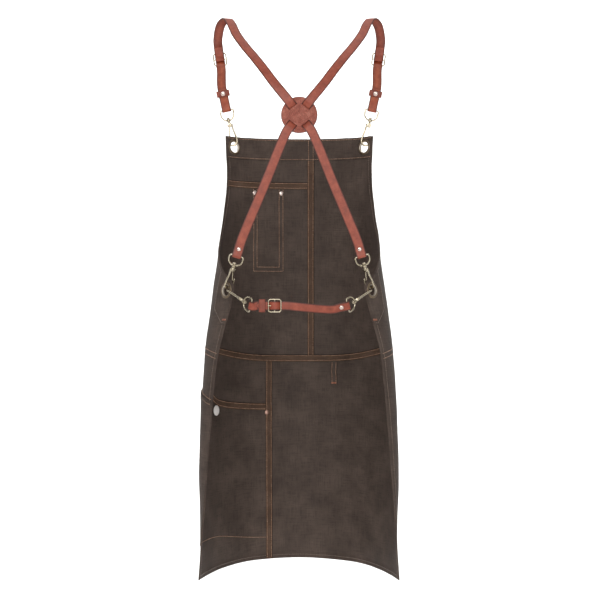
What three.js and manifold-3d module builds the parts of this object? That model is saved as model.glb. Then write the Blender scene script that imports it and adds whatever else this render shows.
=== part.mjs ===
// Bib apron for work, in the form that it has when worn: waxed canvas, tan seams, leather cross-back straps.
// Millimetres. +Z is up, +X the wearer's right, +Y the way the wearer faces.
// The origin lies midway between the undersides of the two shoulder straps, where they sit on the shoulders.
import * as THREE from "three";
import { mergeVertices } from "three/addons/utils/BufferGeometryUtils.js";
import Module from "manifold-3d";

const wasm = await Module();
wasm.setup();

// Clearances
const GAP = 0.3; // between pieces that touch

// Cloth, as it is cut flat
const CLOTH = 1.2; // thickness of the canvas
const FACING = 1.0; // thickness of the bands, pockets and tabs laid on it
const HALF_WIDTH = 332; // centre front to side edge, below the armholes
const BIB_HALF = 160; // centre front to side edge at the bib's top
const LENGTH = 834; // bib's top edge to hem
const BIB_DROP = 216; // shoulders to the bib's top edge
const ARMHOLE = 294; // bib's top edge down to the wing's corner
const ARMHOLE_POWER = 2.7; // how late the armhole flares out
const FRONT_REACH = 115; // shoulder line forward to the cloth at the breast
const WAIST = 437; // bib's top edge down to the waist seam at the centre
const WAIST_RISE = 22; // how far that seam climbs over the hips

// Seams and pockets
const SEAM_WIDTH = 13;
const BAND_HEIGHT = 43;
const CENTRE_SEAM = 23; // to the wearer's right of the centre
const CHEST_SEAM = 93; // below the bib's top edge
const SKIRT_SEAM = -62; // to the wearer's left of the centre
const HIP_SEAM = 533; // below the bib's top edge at the centre
const HIP_RISE = 43; // at the sides of the hips
// Shares of HALF_WIDTH along the hip seam, and of HIP_RISE reached there
const HIP_TURNS = [0, 0.2, 0.33, 0.45, 0.53, 0.61, 0.735, 0.87, 1];
const HIP_SHARES = [0, 0, 0.05, 0.14, 0.23, 0.4, 1, 0.8, 0.5];
const PEN_WIDTH = 66;
const PEN_HEIGHT = 166;
const PEN_CENTRE = -64;
const HIP_POCKET_HEIGHT = 262;
const FLOOR_RISE = 22; // of the hip pocket's floor, towards the side
const FLOOR_TURNS = [0, 0.19, 0.33, 0.44, 0.65, 1];
const FLOOR_SHARES = [0, 0.05, 0.22, 0.46, 0.9, 1];
const LOOP_WIDTH = 12;
const LOOP_HEIGHT = 46;
const LOOP_CENTRE = 71;
const TAB_HEIGHT = 100;
const TAB_WIDTH = 44;

// Eyelets, cap and rivets
const EYELET_HOLE = 21;
const EYELET_FLANGE = 31;
const EYELET_WALL = 0.9;
const EYELET_DROP = 20.5; // bib's top edge to the upper eyelets' centres
const EYELET_INSET = 20; // side edge to an upper eyelet's centre
const SIDE_EYELET_INSET = 18;
const SIDE_EYELET_BELOW = 9; // wing's corner down to a side eyelet's centre
const CAP_DIAMETER = 20;
const CAP_SHANK = 6;
const CAP_ALONG = -203; // along the cloth from the centre
const CAP_DROP = 534;
const RIVET_HEAD = 9;
const RIVET_SHANK = 3;
const RIVET_CROWN = 1.1;

// Leather
const LEATHER = 2;
const STRAP_WIDTH = 18;
const WAIST_STRAP_WIDTH = 16;
const PATCH_DIAMETER = 66;
const PATCH_THICKNESS = 2.5;
const PATCH_DROP = 197; // shoulders to the patch's centre
const PATCH_REACH = 130; // shoulder line back to the patch
const SLOT_RADIUS = 23; // patch centre to the middle of each slot
const SLOT_OPENING = 10;
const STRAP_LEAN = 37.3; // degrees from upright where the straps cross
const SHOULDER_HALF = 139; // centre to a strap's middle on the shoulder
const BUCKLE_DROP = 67; // shoulders to the front buckles
const KEEPER_WIDTH = 12;
const KEEPER_WALL = 1.8;
const KEEPER_ROOM = 2; // strap edge to the inside of its keeper
const KEEPER_LIFT = 0.8; // strap face to the inside of its keeper
const TIP_LENGTH = 30; // buckle to a billet's pointed end

// Hooks, loops and buckles
const HOOK_WIRE = 3.8;
const HOOK_DEPTH = 41; // pivot to the middle of the wire at the bow
const BOW_RADIUS = 8.5;
const GATE_LENGTH = 26;
const GATE_THICKNESS = 2.2;
const GATE_WIDTH = 2.4;
const PIN_DIAMETER = 2.2;
const HEAD_DIAMETER = 8.8;
const HEAD_WIDTH = 6;
const NECK_DIAMETER = 3.8;
const BOSS_HEIGHT = 5;
const LOOP_WIRE = 3;
const LOOP_OUTER_WIDTH = 29;
const LOOP_OUTER_HEIGHT = 25;
const FRAME_WIRE = 2.6;
const FRAME_THICKNESS = 2.4;
const FRAME_HALF_LENGTH = 12.6;
const FRAME_SIDE_ROOM = 2; // strap edge to the inside of a buckle's frame

// Round counts
const ROUND = 14;
const SMALL_ROUND = 8;
const WIRE_SIDES = 6;

const degrees = THREE.MathUtils.degToRad;
const vector = (x, y, z) => new THREE.Vector3(x, y, z);

// Finishes
const CANVAS = { color: 0x4a403b, roughness: 0.85, metalness: 0 };
const TAN_LEATHER = { color: 0xa26557, roughness: 0.5, metalness: 0 };
const PALE_NICKEL = { color: 0xd9cdb8, roughness: 0.25, metalness: 1 };
const BRONZE = { color: 0x5b4a3a, roughness: 0.35, metalness: 1 };
const ROSE_NICKEL = { color: 0xe8d2c8, roughness: 0.25, metalness: 1 };

const apron = new THREE.Group();

// Adds one piece to the apron, in place or in the frame of a matrix
function piece(name, geometry, finish, matrix) {
  const shape = geometry.index ? geometry.toNonIndexed() : geometry;
  shape.computeVertexNormals();
  const mesh = new THREE.Mesh(shape, new THREE.MeshStandardMaterial(finish));
  mesh.name = name;
  if (matrix) mesh.applyMatrix4(matrix);
  apron.add(mesh);
}

// Geometry from shared points and the triangles between them
function skin(points, triangles) {
  const geometry = new THREE.BufferGeometry().setFromPoints(points);
  geometry.setIndex(triangles);
  return geometry;
}

// Solids for cutting and joining
function solidOf(geometry, matrix) {
  const bare = geometry.clone();
  bare.deleteAttribute("normal");
  bare.deleteAttribute("uv");
  if (matrix) bare.applyMatrix4(matrix);
  const merged = mergeVertices(bare, 1e-4);
  return new wasm.Manifold(
    new wasm.Mesh({
      numProp: 3,
      vertProperties: merged.attributes.position.array,
      triVerts: new Uint32Array(merged.index.array),
    }),
  );
}

function geometryOf(solid) {
  const mesh = solid.getMesh();
  const geometry = new THREE.BufferGeometry();
  geometry.setAttribute("position", new THREE.BufferAttribute(mesh.vertProperties, 3));
  geometry.setIndex(new THREE.BufferAttribute(mesh.triVerts, 1));
  return geometry;
}

function join(...geometries) {
  return geometryOf(geometries.map((g) => solidOf(g)).reduce((all, one) => all.add(one)));
}

function cut(geometry, ...cutters) {
  return geometryOf(cutters.reduce((body, cutter) => body.subtract(solidOf(cutter)), solidOf(geometry)));
}

// A closed skin between two faces of a grid: place(u, v, face) with u, v and face from 0 to 1
function slab(us, vs, place) {
  const points = [];
  for (const face of [0, 1]) {
    for (const v of vs) {
      for (const u of us) points.push(place(u, v, face));
    }
  }
  const across = us.length;
  const index = (i, j, face) => face * across * vs.length + j * across + i;
  const triangles = [];
  const quad = (a, b, c, d) => triangles.push(a, b, c, a, c, d);
  for (let j = 0; j < vs.length - 1; j += 1) {
    for (let i = 0; i < across - 1; i += 1) {
      quad(index(i, j, 1), index(i + 1, j, 1), index(i + 1, j + 1, 1), index(i, j + 1, 1));
      quad(index(i, j, 0), index(i, j + 1, 0), index(i + 1, j + 1, 0), index(i + 1, j, 0));
    }
    const end = across - 1;
    quad(index(0, j, 0), index(0, j, 1), index(0, j + 1, 1), index(0, j + 1, 0));
    quad(index(end, j, 1), index(end, j, 0), index(end, j + 1, 0), index(end, j + 1, 1));
  }
  for (let i = 0; i < across - 1; i += 1) {
    const end = vs.length - 1;
    quad(index(i, 0, 0), index(i + 1, 0, 0), index(i + 1, 0, 1), index(i, 0, 1));
    quad(index(i, end, 1), index(i + 1, end, 1), index(i + 1, end, 0), index(i, end, 0));
  }
  return skin(points, triangles);
}

const steps = (count) => Array.from({ length: count + 1 }, (_, i) => i / count);

// Body form that the cloth lies on.
// turn: how far the cloth has turned from straight across, in degrees, at these shares of its half width.
const TURN_AT = [0, 0.1, 0.28, 0.47, 0.68, 0.85, 1];
// drop: share of the cloth's length; front: share of FRONT_REACH
const SECTIONS = [
  { drop: 0, front: 0.97, turn: [0, 7, 23, 48, 65, 78, 88] },
  { drop: 0.19, front: 0.99, turn: [0, 10, 32, 60, 88, 104, 113] },
  { drop: 0.28, front: 1, turn: [0, 10, 31, 56, 91, 110, 120] },
  { drop: 0.36, front: 1, turn: [0, 10, 29.5, 53, 83, 118, 140] },
  { drop: 0.5, front: 0.98, turn: [0, 9.5, 28.5, 50.5, 71, 105, 133] },
  { drop: 0.63, front: 0.97, turn: [0, 10, 30, 52.5, 66, 92, 140] },
  { drop: 0.78, front: 0.95, turn: [0, 12, 31, 53, 66, 84, 130] },
  { drop: 1, front: 0.93, turn: [0, 17, 36, 61, 71, 75, 80] },
];

// A smooth curve through a table's values
function smooth(xs, ys, x) {
  const last = xs.length - 1;
  let i = 0;
  while (i < last - 1 && x > xs[i + 1]) i += 1;
  const slope = (k) => {
    const before = Math.max(k - 1, 0);
    const after = Math.min(k + 1, last);
    return (ys[after] - ys[before]) / (xs[after] - xs[before]);
  };
  const span = xs[i + 1] - xs[i];
  const t = THREE.MathUtils.clamp((x - xs[i]) / span, 0, 1);
  const rise = ys[i + 1] - ys[i];
  const a = slope(i) * span - rise;
  const b = rise - slope(i + 1) * span;
  return ys[i] + rise * t + t * (1 - t) * (a * (1 - t) + b * t);
}

// Point of the cloth's inner face: along is measured round the cloth from the centre, drop down from the top edge
function formPoint(along, drop) {
  const share = drop / LENGTH;
  const heights = SECTIONS.map((row) => row.drop);
  const turns = TURN_AT.map((_, k) => degrees(smooth(heights, SECTIONS.map((row) => row.turn[k]), share)));
  let x = 0;
  let y = FRONT_REACH * smooth(heights, SECTIONS.map((row) => row.front), share);
  for (let k = 0; k < TURN_AT.length - 1; k += 1) {
    const from = TURN_AT[k] * HALF_WIDTH;
    const to = TURN_AT[k + 1] * HALF_WIDTH;
    const reach = k === TURN_AT.length - 2 ? Math.abs(along) : Math.min(Math.abs(along), to);
    if (reach <= from) break;
    const rate = (turns[k + 1] - turns[k]) / (to - from);
    const end = turns[k] + rate * (reach - from);
    x += (Math.sin(end) - Math.sin(turns[k])) / rate;
    y += (Math.cos(end) - Math.cos(turns[k])) / rate;
  }
  return vector(Math.sign(along) * x, y, -BIB_DROP - drop);
}

// Place and directions on the cloth: across runs to the wearer's right, out points away from the body
function clothFrame(along, drop) {
  const reach = 0.5;
  const across = formPoint(along + reach, drop).sub(formPoint(along - reach, drop)).normalize();
  const down = formPoint(along, drop + reach).sub(formPoint(along, drop - reach)).normalize();
  const out = across.clone().cross(down).normalize();
  return { at: formPoint(along, drop), across, down, out };
}

function clothPoint(along, drop, level) {
  const frame = clothFrame(along, drop);
  return frame.at.addScaledVector(frame.out, level);
}

// Edges and seams in the flat pattern
function sideEdge(drop) {
  const share = THREE.MathUtils.clamp(drop / ARMHOLE, 0, 1);
  return BIB_HALF + (HALF_WIDTH - BIB_HALF) * share ** ARMHOLE_POWER;
}

function waistAt(along) {
  const share = Math.min(Math.abs(along) / HALF_WIDTH, 1);
  return WAIST - WAIST_RISE * Math.sin(0.68 * Math.PI * share) ** 4;
}

function hipAt(along) {
  const share = Math.min(Math.abs(along) / HALF_WIDTH, 1);
  return HIP_SEAM - HIP_RISE * smooth(HIP_TURNS, HIP_SHARES, share);
}

function floorAt(along) {
  const share = Math.min(Math.abs(along) / HALF_WIDTH, 1);
  return HIP_SEAM + HIP_POCKET_HEIGHT - FLOOR_RISE * smooth(FLOOR_TURNS, FLOOR_SHARES, share);
}

// Grid of flat facets that every layer of cloth shares, so that stacked layers stay parallel.
// Shares of HALF_WIDTH to each side and of LENGTH down; each eyelet lies in the middle of a cell.
const COLUMN_LINES = [0, 0.09, 0.22, 0.295, 0.37, 0.475, 0.56, 0.645, 0.73, 0.815, 0.895, 1];
const BIB_ROWS = [0, 0.055, 0.12, 0.18, 0.235, 0.29, 0.34, 0.387];
const ROW_LINES = [...BIB_ROWS, 0.45, 0.52, 0.59, 0.66, 0.74, 0.82, 0.91, 1];
const pairs = (lines) => lines.slice(1).map((line, i) => [lines[i], line]);
const cells = pairs(ROW_LINES).flatMap(([t, b]) =>
  pairs(COLUMN_LINES).flatMap(([l, r]) => [
    { left: -r * HALF_WIDTH, right: -l * HALF_WIDTH, top: t * LENGTH, bottom: b * LENGTH },
    { left: l * HALF_WIDTH, right: r * HALF_WIDTH, top: t * LENGTH, bottom: b * LENGTH },
  ]),
);
const flat = (along, drop) => new THREE.Vector2(along, drop);
const facets = cells.flatMap(({ left, right, top, bottom }) => {
  const [lt, rt, rb, lb] = [flat(left, top), flat(right, top), flat(right, bottom), flat(left, bottom)];
  return left < 0 ? [[lt, rt, rb], [lt, rb, lb]] : [[lt, rt, lb], [rt, rb, lb]];
});

// Twice the area of the triangle a, b, c: positive where its corners run the way of a facet's
const twist = (a, b, c) => (b.x - a.x) * (c.y - a.y) - (b.y - a.y) * (c.x - a.x);

// Point of a facet in space, for a point of the flat pattern
function onFacet([a, b, c], p, level) {
  const whole = twist(a, b, c);
  const corners = [a, b, c].map((corner) => clothPoint(corner.x, corner.y, level));
  return vector(0, 0, 0)
    .addScaledVector(corners[0], twist(p, b, c) / whole)
    .addScaledVector(corners[1], twist(a, p, c) / whole)
    .addScaledVector(corners[2], twist(a, b, p) / whole);
}

// The part of a flat outline to the inner side of the line from a to b
function clip(outline, a, b) {
  return outline.flatMap((p, i) => {
    const q = outline[(i + 1) % outline.length];
    const from = twist(a, b, p);
    const to = twist(a, b, q);
    const kept = from >= 0 ? [p] : [];
    if (from * to < 0) kept.push(p.clone().lerp(q, from / (from - to)));
    return kept;
  });
}

// Samples along an edge of the pattern, on shared lines: only its start where it is straight
const halves = (lines) => pairs(lines).flatMap(([from, to]) => [from, (from + to) / 2]);
const endLines = [-1, 1].flatMap((sign) => COLUMN_LINES.map((share) => sign * share * HALF_WIDTH));
const sideLines = [...halves(ROW_LINES).map((share) => share * LENGTH), ARMHOLE];
function samples(edge, from, to, lines) {
  const at = (t) => THREE.MathUtils.lerp(from, to, t);
  const straight = (t) => Math.abs(edge(at(t)) - THREE.MathUtils.lerp(edge(from), edge(to), t)) < 0.02;
  if (steps(8).every(straight)) return [from];
  const between = lines.filter((line) => (line - from) * (line - to) < 0);
  return [from, ...between.sort((x, y) => (x - y) * Math.sign(to - from))];
}

// A piece of cloth: its sides are functions of drop, its ends of the place along, its faces two levels
function clothSheet({ left, right, top, bottom, inner, outer }) {
  const meet = (side, end) => {
    let drop = end(0);
    for (let pass = 0; pass < 8; pass += 1) drop = end(side(drop));
    return flat(side(drop), drop);
  };
  const [lt, rt, rb, lb] = [meet(left, top), meet(right, top), meet(right, bottom), meet(left, bottom)];
  const outline = [
    ...samples(top, lt.x, rt.x, endLines).map((x) => flat(x, top(x))),
    ...samples(right, rt.y, rb.y, sideLines).map((y) => flat(right(y), y)),
    ...samples(bottom, rb.x, lb.x, endLines).map((x) => flat(x, bottom(x))),
    ...samples(left, lb.y, lt.y, sideLines).map((y) => flat(left(y), y)),
  ];
  const points = [];
  const indexes = new Map();
  const triangles = [];
  const edges = new Map();
  for (const facet of facets) {
    const [a, b, c] = facet;
    const shape = clip(clip(clip(outline, a, b), b, c), c, a);
    const index = shape.map((p) => {
      const key = `${Math.round(p.x * 100)} ${Math.round(p.y * 100)}`;
      if (!indexes.has(key)) {
        indexes.set(key, indexes.size);
        points.push(onFacet(facet, p, inner), onFacet(facet, p, outer));
      }
      return indexes.get(key);
    });
    const kept = shape.filter((_, i) => index[i] !== index[(i + 1) % index.length]);
    const keptIndex = index.filter((one, i) => one !== index[(i + 1) % index.length]);
    if (kept.length < 3) continue;
    for (const [i, j, k] of THREE.ShapeUtils.triangulateShape(kept, [])) {
      const [p, q, r] = [keptIndex[i], keptIndex[j], keptIndex[k]];
      triangles.push(2 * p + 1, 2 * q + 1, 2 * r + 1, 2 * p, 2 * r, 2 * q);
      for (const [from, to] of [[p, q], [q, r], [r, p]]) {
        if (!edges.delete(`${to} ${from}`)) edges.set(`${from} ${to}`, [from, to]);
      }
    }
  }
  for (const [a, b] of edges.values()) {
    triangles.push(2 * b, 2 * b + 1, 2 * a + 1, 2 * b, 2 * a + 1, 2 * a);
  }
  return skin(points, triangles);
}

const HALF_GAP = GAP / 2;
const fixed = (value) => () => value;
const STRIP = { inner: -GAP - FACING, outer: -GAP };
const BASE = { inner: 0, outer: CLOTH };
const OUTSIDE = { inner: CLOTH + GAP, outer: CLOTH + GAP + FACING };

// Eyelets: two flanges and a barrel that clamp the cloth between them
function ring(profile, round) {
  const points = profile.map(([r, z]) => new THREE.Vector2(r, z));
  points.push(points[0].clone());
  return new THREE.LatheGeometry(points, round).rotateX(Math.PI / 2);
}

function eyeletGeometry(low, high) {
  const hole = EYELET_HOLE / 2;
  const barrel = hole + EYELET_WALL;
  const flange = EYELET_FLANGE / 2;
  return ring(
    [
      [hole, low - GAP - EYELET_WALL],
      [flange, low - GAP - EYELET_WALL],
      [flange, low - GAP],
      [barrel, low - GAP],
      [barrel, high + GAP],
      [flange, high + GAP],
      [flange, high + GAP + EYELET_WALL],
      [hole, high + GAP + EYELET_WALL],
    ],
    ROUND,
  );
}

// The room that an eyelet takes from the cloth: its barrel, and its flanges pressed in
function eyeletRoom(low, high) {
  const room = EYELET_HOLE / 2 + EYELET_WALL + GAP;
  const flange = EYELET_FLANGE / 2 + GAP;
  const deep = 6;
  return ring(
    [
      [0, low - deep],
      [flange, low - deep],
      [flange, low],
      [room, low],
      [room, high],
      [flange, high],
      [flange, high + deep],
      [0, high + deep],
    ],
    ROUND,
  );
}

// A matrix that puts local x, y and z on the given directions
function frameMatrix(at, x, y, z) {
  return new THREE.Matrix4().makeBasis(x, y, z).setPosition(at);
}

// On the flat cell of the cloth around a place, with local z pointing out of it
function onCloth(along, drop) {
  const { left, right, top, bottom } = cells.find(
    (cell) => cell.left <= along && along < cell.right && cell.top <= drop && drop < cell.bottom,
  );
  const side = (x) => clothPoint(x, top, 0).lerp(clothPoint(x, bottom, 0), (drop - top) / (bottom - top));
  const end = (y) => clothPoint(left, y, 0).lerp(clothPoint(right, y, 0), (along - left) / (right - left));
  const at = side(left).lerp(side(right), (along - left) / (right - left));
  const across = side(right).sub(side(left)).normalize();
  const down = end(bottom).sub(end(top));
  const out = across.clone().cross(down).normalize();
  const up = out.clone().cross(across);
  return { at, across, out, matrix: frameMatrix(at, across, up, out) };
}

const sides = [
  { name: "left", sign: -1 },
  { name: "right", sign: 1 },
];

const SIDE_EYELET_DROP = ARMHOLE + SIDE_EYELET_BELOW;
const eyelets = sides.flatMap(({ name, sign }) => [
  {
    name: `eyelet_top_${name}`,
    low: STRIP.inner,
    high: CLOTH,
    ...onCloth(sign * (BIB_HALF - EYELET_INSET), EYELET_DROP),
  },
  {
    name: `eyelet_side_${name}`,
    low: 0,
    high: OUTSIDE.outer,
    ...onCloth(sign * (HALF_WIDTH - SIDE_EYELET_INSET), SIDE_EYELET_DROP),
  },
]);
const eyeletRooms = eyelets.map((e) => eyeletRoom(e.low, e.high).applyMatrix4(e.matrix));
for (const e of eyelets) piece(e.name, eyeletGeometry(e.low, e.high), BRONZE, e.matrix);

// Rivets: a shank with a crown at each end, from level low to level high along local z
function rivetGeometry(low, high, head = RIVET_HEAD) {
  const crown = head / 2;
  const shank = RIVET_SHANK / 2;
  return ring(
    [
      [0, low - GAP - RIVET_CROWN],
      [crown * 0.7, low - GAP - RIVET_CROWN],
      [crown, low - GAP],
      [shank, low - GAP],
      [shank, high + GAP],
      [crown * 0.8, high + GAP],
      [crown * 0.6, high + GAP + RIVET_CROWN],
      [0, high + GAP + RIVET_CROWN],
    ],
    SMALL_ROUND,
  );
}

function shankRoom(low, high, diameter = RIVET_SHANK) {
  const radius = diameter / 2 + GAP;
  const beyond = 4;
  const room = new THREE.CylinderGeometry(radius, radius, high - low + 2 * beyond, SMALL_ROUND);
  return room.rotateX(Math.PI / 2).translate(0, 0, (low + high) / 2);
}

const PEN_TOP = CHEST_SEAM + SEAM_WIDTH / 2;
const PEN_RIVET_INSET = 5;
const HIP_RIVET_BELOW = 5;
const PEN_RIVET_BELOW = 9; // seam's edge to the rivets at the pen pocket's mouth
const penRivetDrop = PEN_TOP + PEN_RIVET_BELOW;
const penRivetOff = PEN_WIDTH / 2 - PEN_RIVET_INSET;
const hipRivetDrop = hipAt(SKIRT_SEAM) + SEAM_WIDTH / 2 + HIP_RIVET_BELOW;
const clothRivets = [
  { name: "rivet_pen_left", along: PEN_CENTRE - penRivetOff, drop: penRivetDrop, low: 0 },
  { name: "rivet_pen_right", along: PEN_CENTRE + penRivetOff, drop: penRivetDrop, low: 0 },
  { name: "rivet_hip", along: SKIRT_SEAM - RIVET_HEAD / 2, drop: hipRivetDrop, low: STRIP.inner },
].map((row) => ({ ...row, ...onCloth(row.along, row.drop) }));
for (const r of clothRivets) piece(r.name, rivetGeometry(r.low, OUTSIDE.outer), ROSE_NICKEL, r.matrix);

const cap = onCloth(CAP_ALONG, CAP_DROP);
const capLow = STRIP.inner;
const capGeometry = ring(
  [
    [0, capLow - GAP - 2.2],
    [CAP_DIAMETER * 0.36, capLow - GAP - 1.8],
    [CAP_DIAMETER * 0.5, capLow - GAP - 0.6],
    [CAP_DIAMETER * 0.5, capLow - GAP],
    [CAP_SHANK / 2, capLow - GAP],
    [CAP_SHANK / 2, OUTSIDE.outer + GAP],
    [CAP_DIAMETER * 0.35, OUTSIDE.outer + GAP],
    [CAP_DIAMETER * 0.3, OUTSIDE.outer + GAP + RIVET_CROWN],
    [0, OUTSIDE.outer + GAP + RIVET_CROWN],
  ],
  ROUND,
);
piece("snap_cap", capGeometry, PALE_NICKEL, cap.matrix);

const capRoom = shankRoom(0, OUTSIDE.outer, CAP_SHANK).applyMatrix4(cap.matrix);
const rivetRooms = clothRivets.map((r) => shankRoom(r.low, OUTSIDE.outer).applyMatrix4(r.matrix));
const clothRooms = [...eyeletRooms, ...rivetRooms, capRoom];

function clothPiece(name, geometry, rooms = clothRooms) {
  piece(name, cut(geometry, ...rooms), CANVAS);
}

// Panels of the bib and skirt
const leftOf = (drop) => -sideEdge(drop);
const bibLower = (name, left, right, top) =>
  clothPiece(
    name,
    clothSheet({
      left,
      right,
      top: fixed(top),
      bottom: (along) => waistAt(along) - HALF_GAP,
      ...BASE,
    }),
  );
clothPiece(
  "bib_upper_left",
  clothSheet({
    left: leftOf,
    right: fixed(CENTRE_SEAM - HALF_GAP),
    top: fixed(0),
    bottom: fixed(CHEST_SEAM - HALF_GAP),
    ...BASE,
  }),
);
bibLower(
  "bib_lower_left",
  leftOf,
  fixed(CENTRE_SEAM - HALF_GAP),
  CHEST_SEAM + HALF_GAP,
);
bibLower("bib_right", fixed(CENTRE_SEAM + HALF_GAP), sideEdge, 0);
clothPiece(
  "skirt_upper_left",
  clothSheet({
    left: fixed(-HALF_WIDTH),
    right: fixed(SKIRT_SEAM - HALF_GAP),
    top: (along) => waistAt(along) + HALF_GAP,
    bottom: (along) => hipAt(along) - HALF_GAP,
    ...BASE,
  }),
);
clothPiece(
  "skirt_lower_left",
  clothSheet({
    left: fixed(-HALF_WIDTH),
    right: fixed(SKIRT_SEAM - HALF_GAP),
    top: (along) => hipAt(along) + HALF_GAP,
    bottom: fixed(LENGTH),
    ...BASE,
  }),
);
clothPiece(
  "skirt_right",
  clothSheet({
    left: fixed(SKIRT_SEAM + HALF_GAP),
    right: fixed(HALF_WIDTH),
    top: (along) => waistAt(along) + HALF_GAP,
    bottom: fixed(LENGTH),
    ...BASE,
  }),
);

// Band inside the bib's top edge
clothPiece(
  "top_band",
  clothSheet({
    left: leftOf,
    right: sideEdge,
    top: fixed(0),
    bottom: fixed(BAND_HEIGHT),
    ...STRIP,
  }),
);

// Felled seams: narrow strips over the panels' joints on the inner face
const EDGE_MARGIN = 1;
const HALF_SEAM = SEAM_WIDTH / 2;
const centreSeam = clothSheet({
  left: fixed(CENTRE_SEAM - HALF_SEAM),
  right: fixed(CENTRE_SEAM + HALF_SEAM),
  top: fixed(BAND_HEIGHT + GAP),
  bottom: (along) => waistAt(along) - HALF_SEAM - GAP,
  ...STRIP,
});
const chestSeam = clothSheet({
  left: (drop) => leftOf(drop) + EDGE_MARGIN,
  right: fixed(CENTRE_SEAM),
  top: fixed(CHEST_SEAM - HALF_SEAM),
  bottom: fixed(CHEST_SEAM + HALF_SEAM),
  ...STRIP,
});
clothPiece("bib_seams", join(centreSeam, chestSeam));
clothPiece(
  "waist_seam",
  clothSheet({
    left: fixed(-HALF_WIDTH + EDGE_MARGIN),
    right: fixed(HALF_WIDTH - EDGE_MARGIN),
    top: (along) => waistAt(along) - HALF_SEAM,
    bottom: (along) => waistAt(along) + HALF_SEAM,
    ...STRIP,
  }),
);
const skirtSeam = clothSheet({
  left: fixed(SKIRT_SEAM - HALF_SEAM),
  right: fixed(SKIRT_SEAM + HALF_SEAM),
  top: (along) => waistAt(along) + HALF_SEAM + GAP,
  bottom: fixed(LENGTH),
  ...STRIP,
});
const hipSeam = clothSheet({
  left: fixed(-HALF_WIDTH + EDGE_MARGIN),
  right: fixed(SKIRT_SEAM),
  top: (along) => hipAt(along) - HALF_SEAM,
  bottom: (along) => hipAt(along) + HALF_SEAM,
  ...STRIP,
});
clothPiece("skirt_seams", join(skirtSeam, hipSeam));

// Pockets and tabs on the outer face
clothPiece(
  "pen_pocket",
  clothSheet({
    left: fixed(PEN_CENTRE - PEN_WIDTH / 2),
    right: fixed(PEN_CENTRE + PEN_WIDTH / 2),
    top: fixed(PEN_TOP),
    bottom: fixed(PEN_TOP + PEN_HEIGHT),
    ...OUTSIDE,
  }),
);
clothPiece(
  "hip_pocket",
  clothSheet({
    left: fixed(-HALF_WIDTH),
    right: fixed(SKIRT_SEAM),
    top: hipAt,
    bottom: floorAt,
    ...OUTSIDE,
  }),
);
const TAB_ABOVE = 0.27; // share of a tab above the wing's corner
const TAB_STRAIGHT = 0.7; // share of its height before its inner side runs out to a point
const TAB_POINT = 0.1; // of its width, left at the point
const TAB_INSET = 4;
const tabTop = ARMHOLE - TAB_HEIGHT * TAB_ABOVE;
const tabInner = (drop) => {
  const share = (drop - tabTop) / TAB_HEIGHT;
  const narrowing = THREE.MathUtils.clamp((share - TAB_STRAIGHT) / (1 - TAB_STRAIGHT), 0, 1);
  return HALF_WIDTH - TAB_INSET - TAB_WIDTH * (1 - (1 - TAB_POINT) * narrowing);
};
const tabOuter = (drop) => sideEdge(drop) - EDGE_MARGIN;
for (const { name, sign } of sides) {
  const left = sign < 0 ? (drop) => -tabOuter(drop) : tabInner;
  const right = sign < 0 ? (drop) => -tabInner(drop) : tabOuter;
  clothPiece(
    `side_tab_${name}`,
    clothSheet({
      left,
      right,
      top: fixed(tabTop),
      bottom: fixed(tabTop + TAB_HEIGHT),
      ...OUTSIDE,
    }),
  );
}

// Towel loop: a folded strip that hangs from the waist seam, inside
clothPiece(
  "towel_loop",
  clothSheet({
    left: fixed(LOOP_CENTRE - LOOP_WIDTH / 2),
    right: fixed(LOOP_CENTRE + LOOP_WIDTH / 2),
    top: (along) => waistAt(along) + HALF_SEAM + GAP,
    bottom: (along) => waistAt(along) + HALF_SEAM + GAP + LOOP_HEIGHT,
    inner: STRIP.inner - FACING,
    outer: -GAP,
  }),
);

// Round and rectangular outlines
function polygon(radius, count) {
  return steps(count)
    .slice(0, -1)
    .map((t) => new THREE.Vector2(radius * Math.cos(2 * Math.PI * t), radius * Math.sin(2 * Math.PI * t)));
}

function roundedRectangle(halfX, halfY, radius, path = new THREE.Shape()) {
  const corners = [
    [halfX - radius, halfY - radius],
    [radius - halfX, halfY - radius],
    [radius - halfX, radius - halfY],
    [halfX - radius, radius - halfY],
  ];
  for (const [quarter, [x, y]] of corners.entries()) {
    for (const t of [0, 0.5, 1]) {
      const angle = ((quarter + t) * Math.PI) / 2;
      const px = x + radius * Math.cos(angle);
      const py = y + radius * Math.sin(angle);
      if (path.curves.length || path.currentPoint.lengthSq() > 0) path.lineTo(px, py);
      else path.moveTo(px, py);
    }
  }
  return path;
}

function wire(points, diameter, count) {
  return new THREE.ExtrudeGeometry(new THREE.Shape(polygon(diameter / 2, WIRE_SIDES)), {
    steps: count,
    extrudePath: new THREE.CatmullRomCurve3(points),
    bevelEnabled: false,
  });
}

// Hook, local frame: pivot at the origin, +z towards the strap, bow below, nose and gate on +x, pin along y
const wireHalf = HOOK_WIRE / 2;
const noseInner = BOW_RADIUS - wireHalf;
const NOSE_OVERLAP = 3.4; // how far the nose covers the gate's end
const NOSE_ROOM = 0.15; // beyond GAP, between the shut gate and the nose
const BOW_ANGLES = [200, 235, 270, 305, 340]; // degrees round the bow, from the spine to the nose
const BOSS_RISE = 2.2; // head to the loop's boss
const EYE_WALL = 1.5; // metal round the gate's pin hole
const NECK_RIM = 1.4; // how far the knob that holds the loop stands out from the neck
const KNOB_HEIGHT = 2;
const BRIDGE_RIM = 0.8; // how far the bridge over the fork stands out from the neck
const BRIDGE_HEIGHT = 2.6;
const BOSS_WALL = 1.7;
const bowCentre = -(HOOK_DEPTH - BOW_RADIUS);
const gateTipX = noseInner - GAP - GATE_THICKNESS / 2 - NOSE_ROOM;
const gateTipZ = -Math.sqrt(GATE_LENGTH ** 2 - gateTipX ** 2);
const gateLean = Math.atan2(gateTipX, -gateTipZ);
const eyeRadius = PIN_DIAMETER / 2 + GAP + EYE_WALL;
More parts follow.
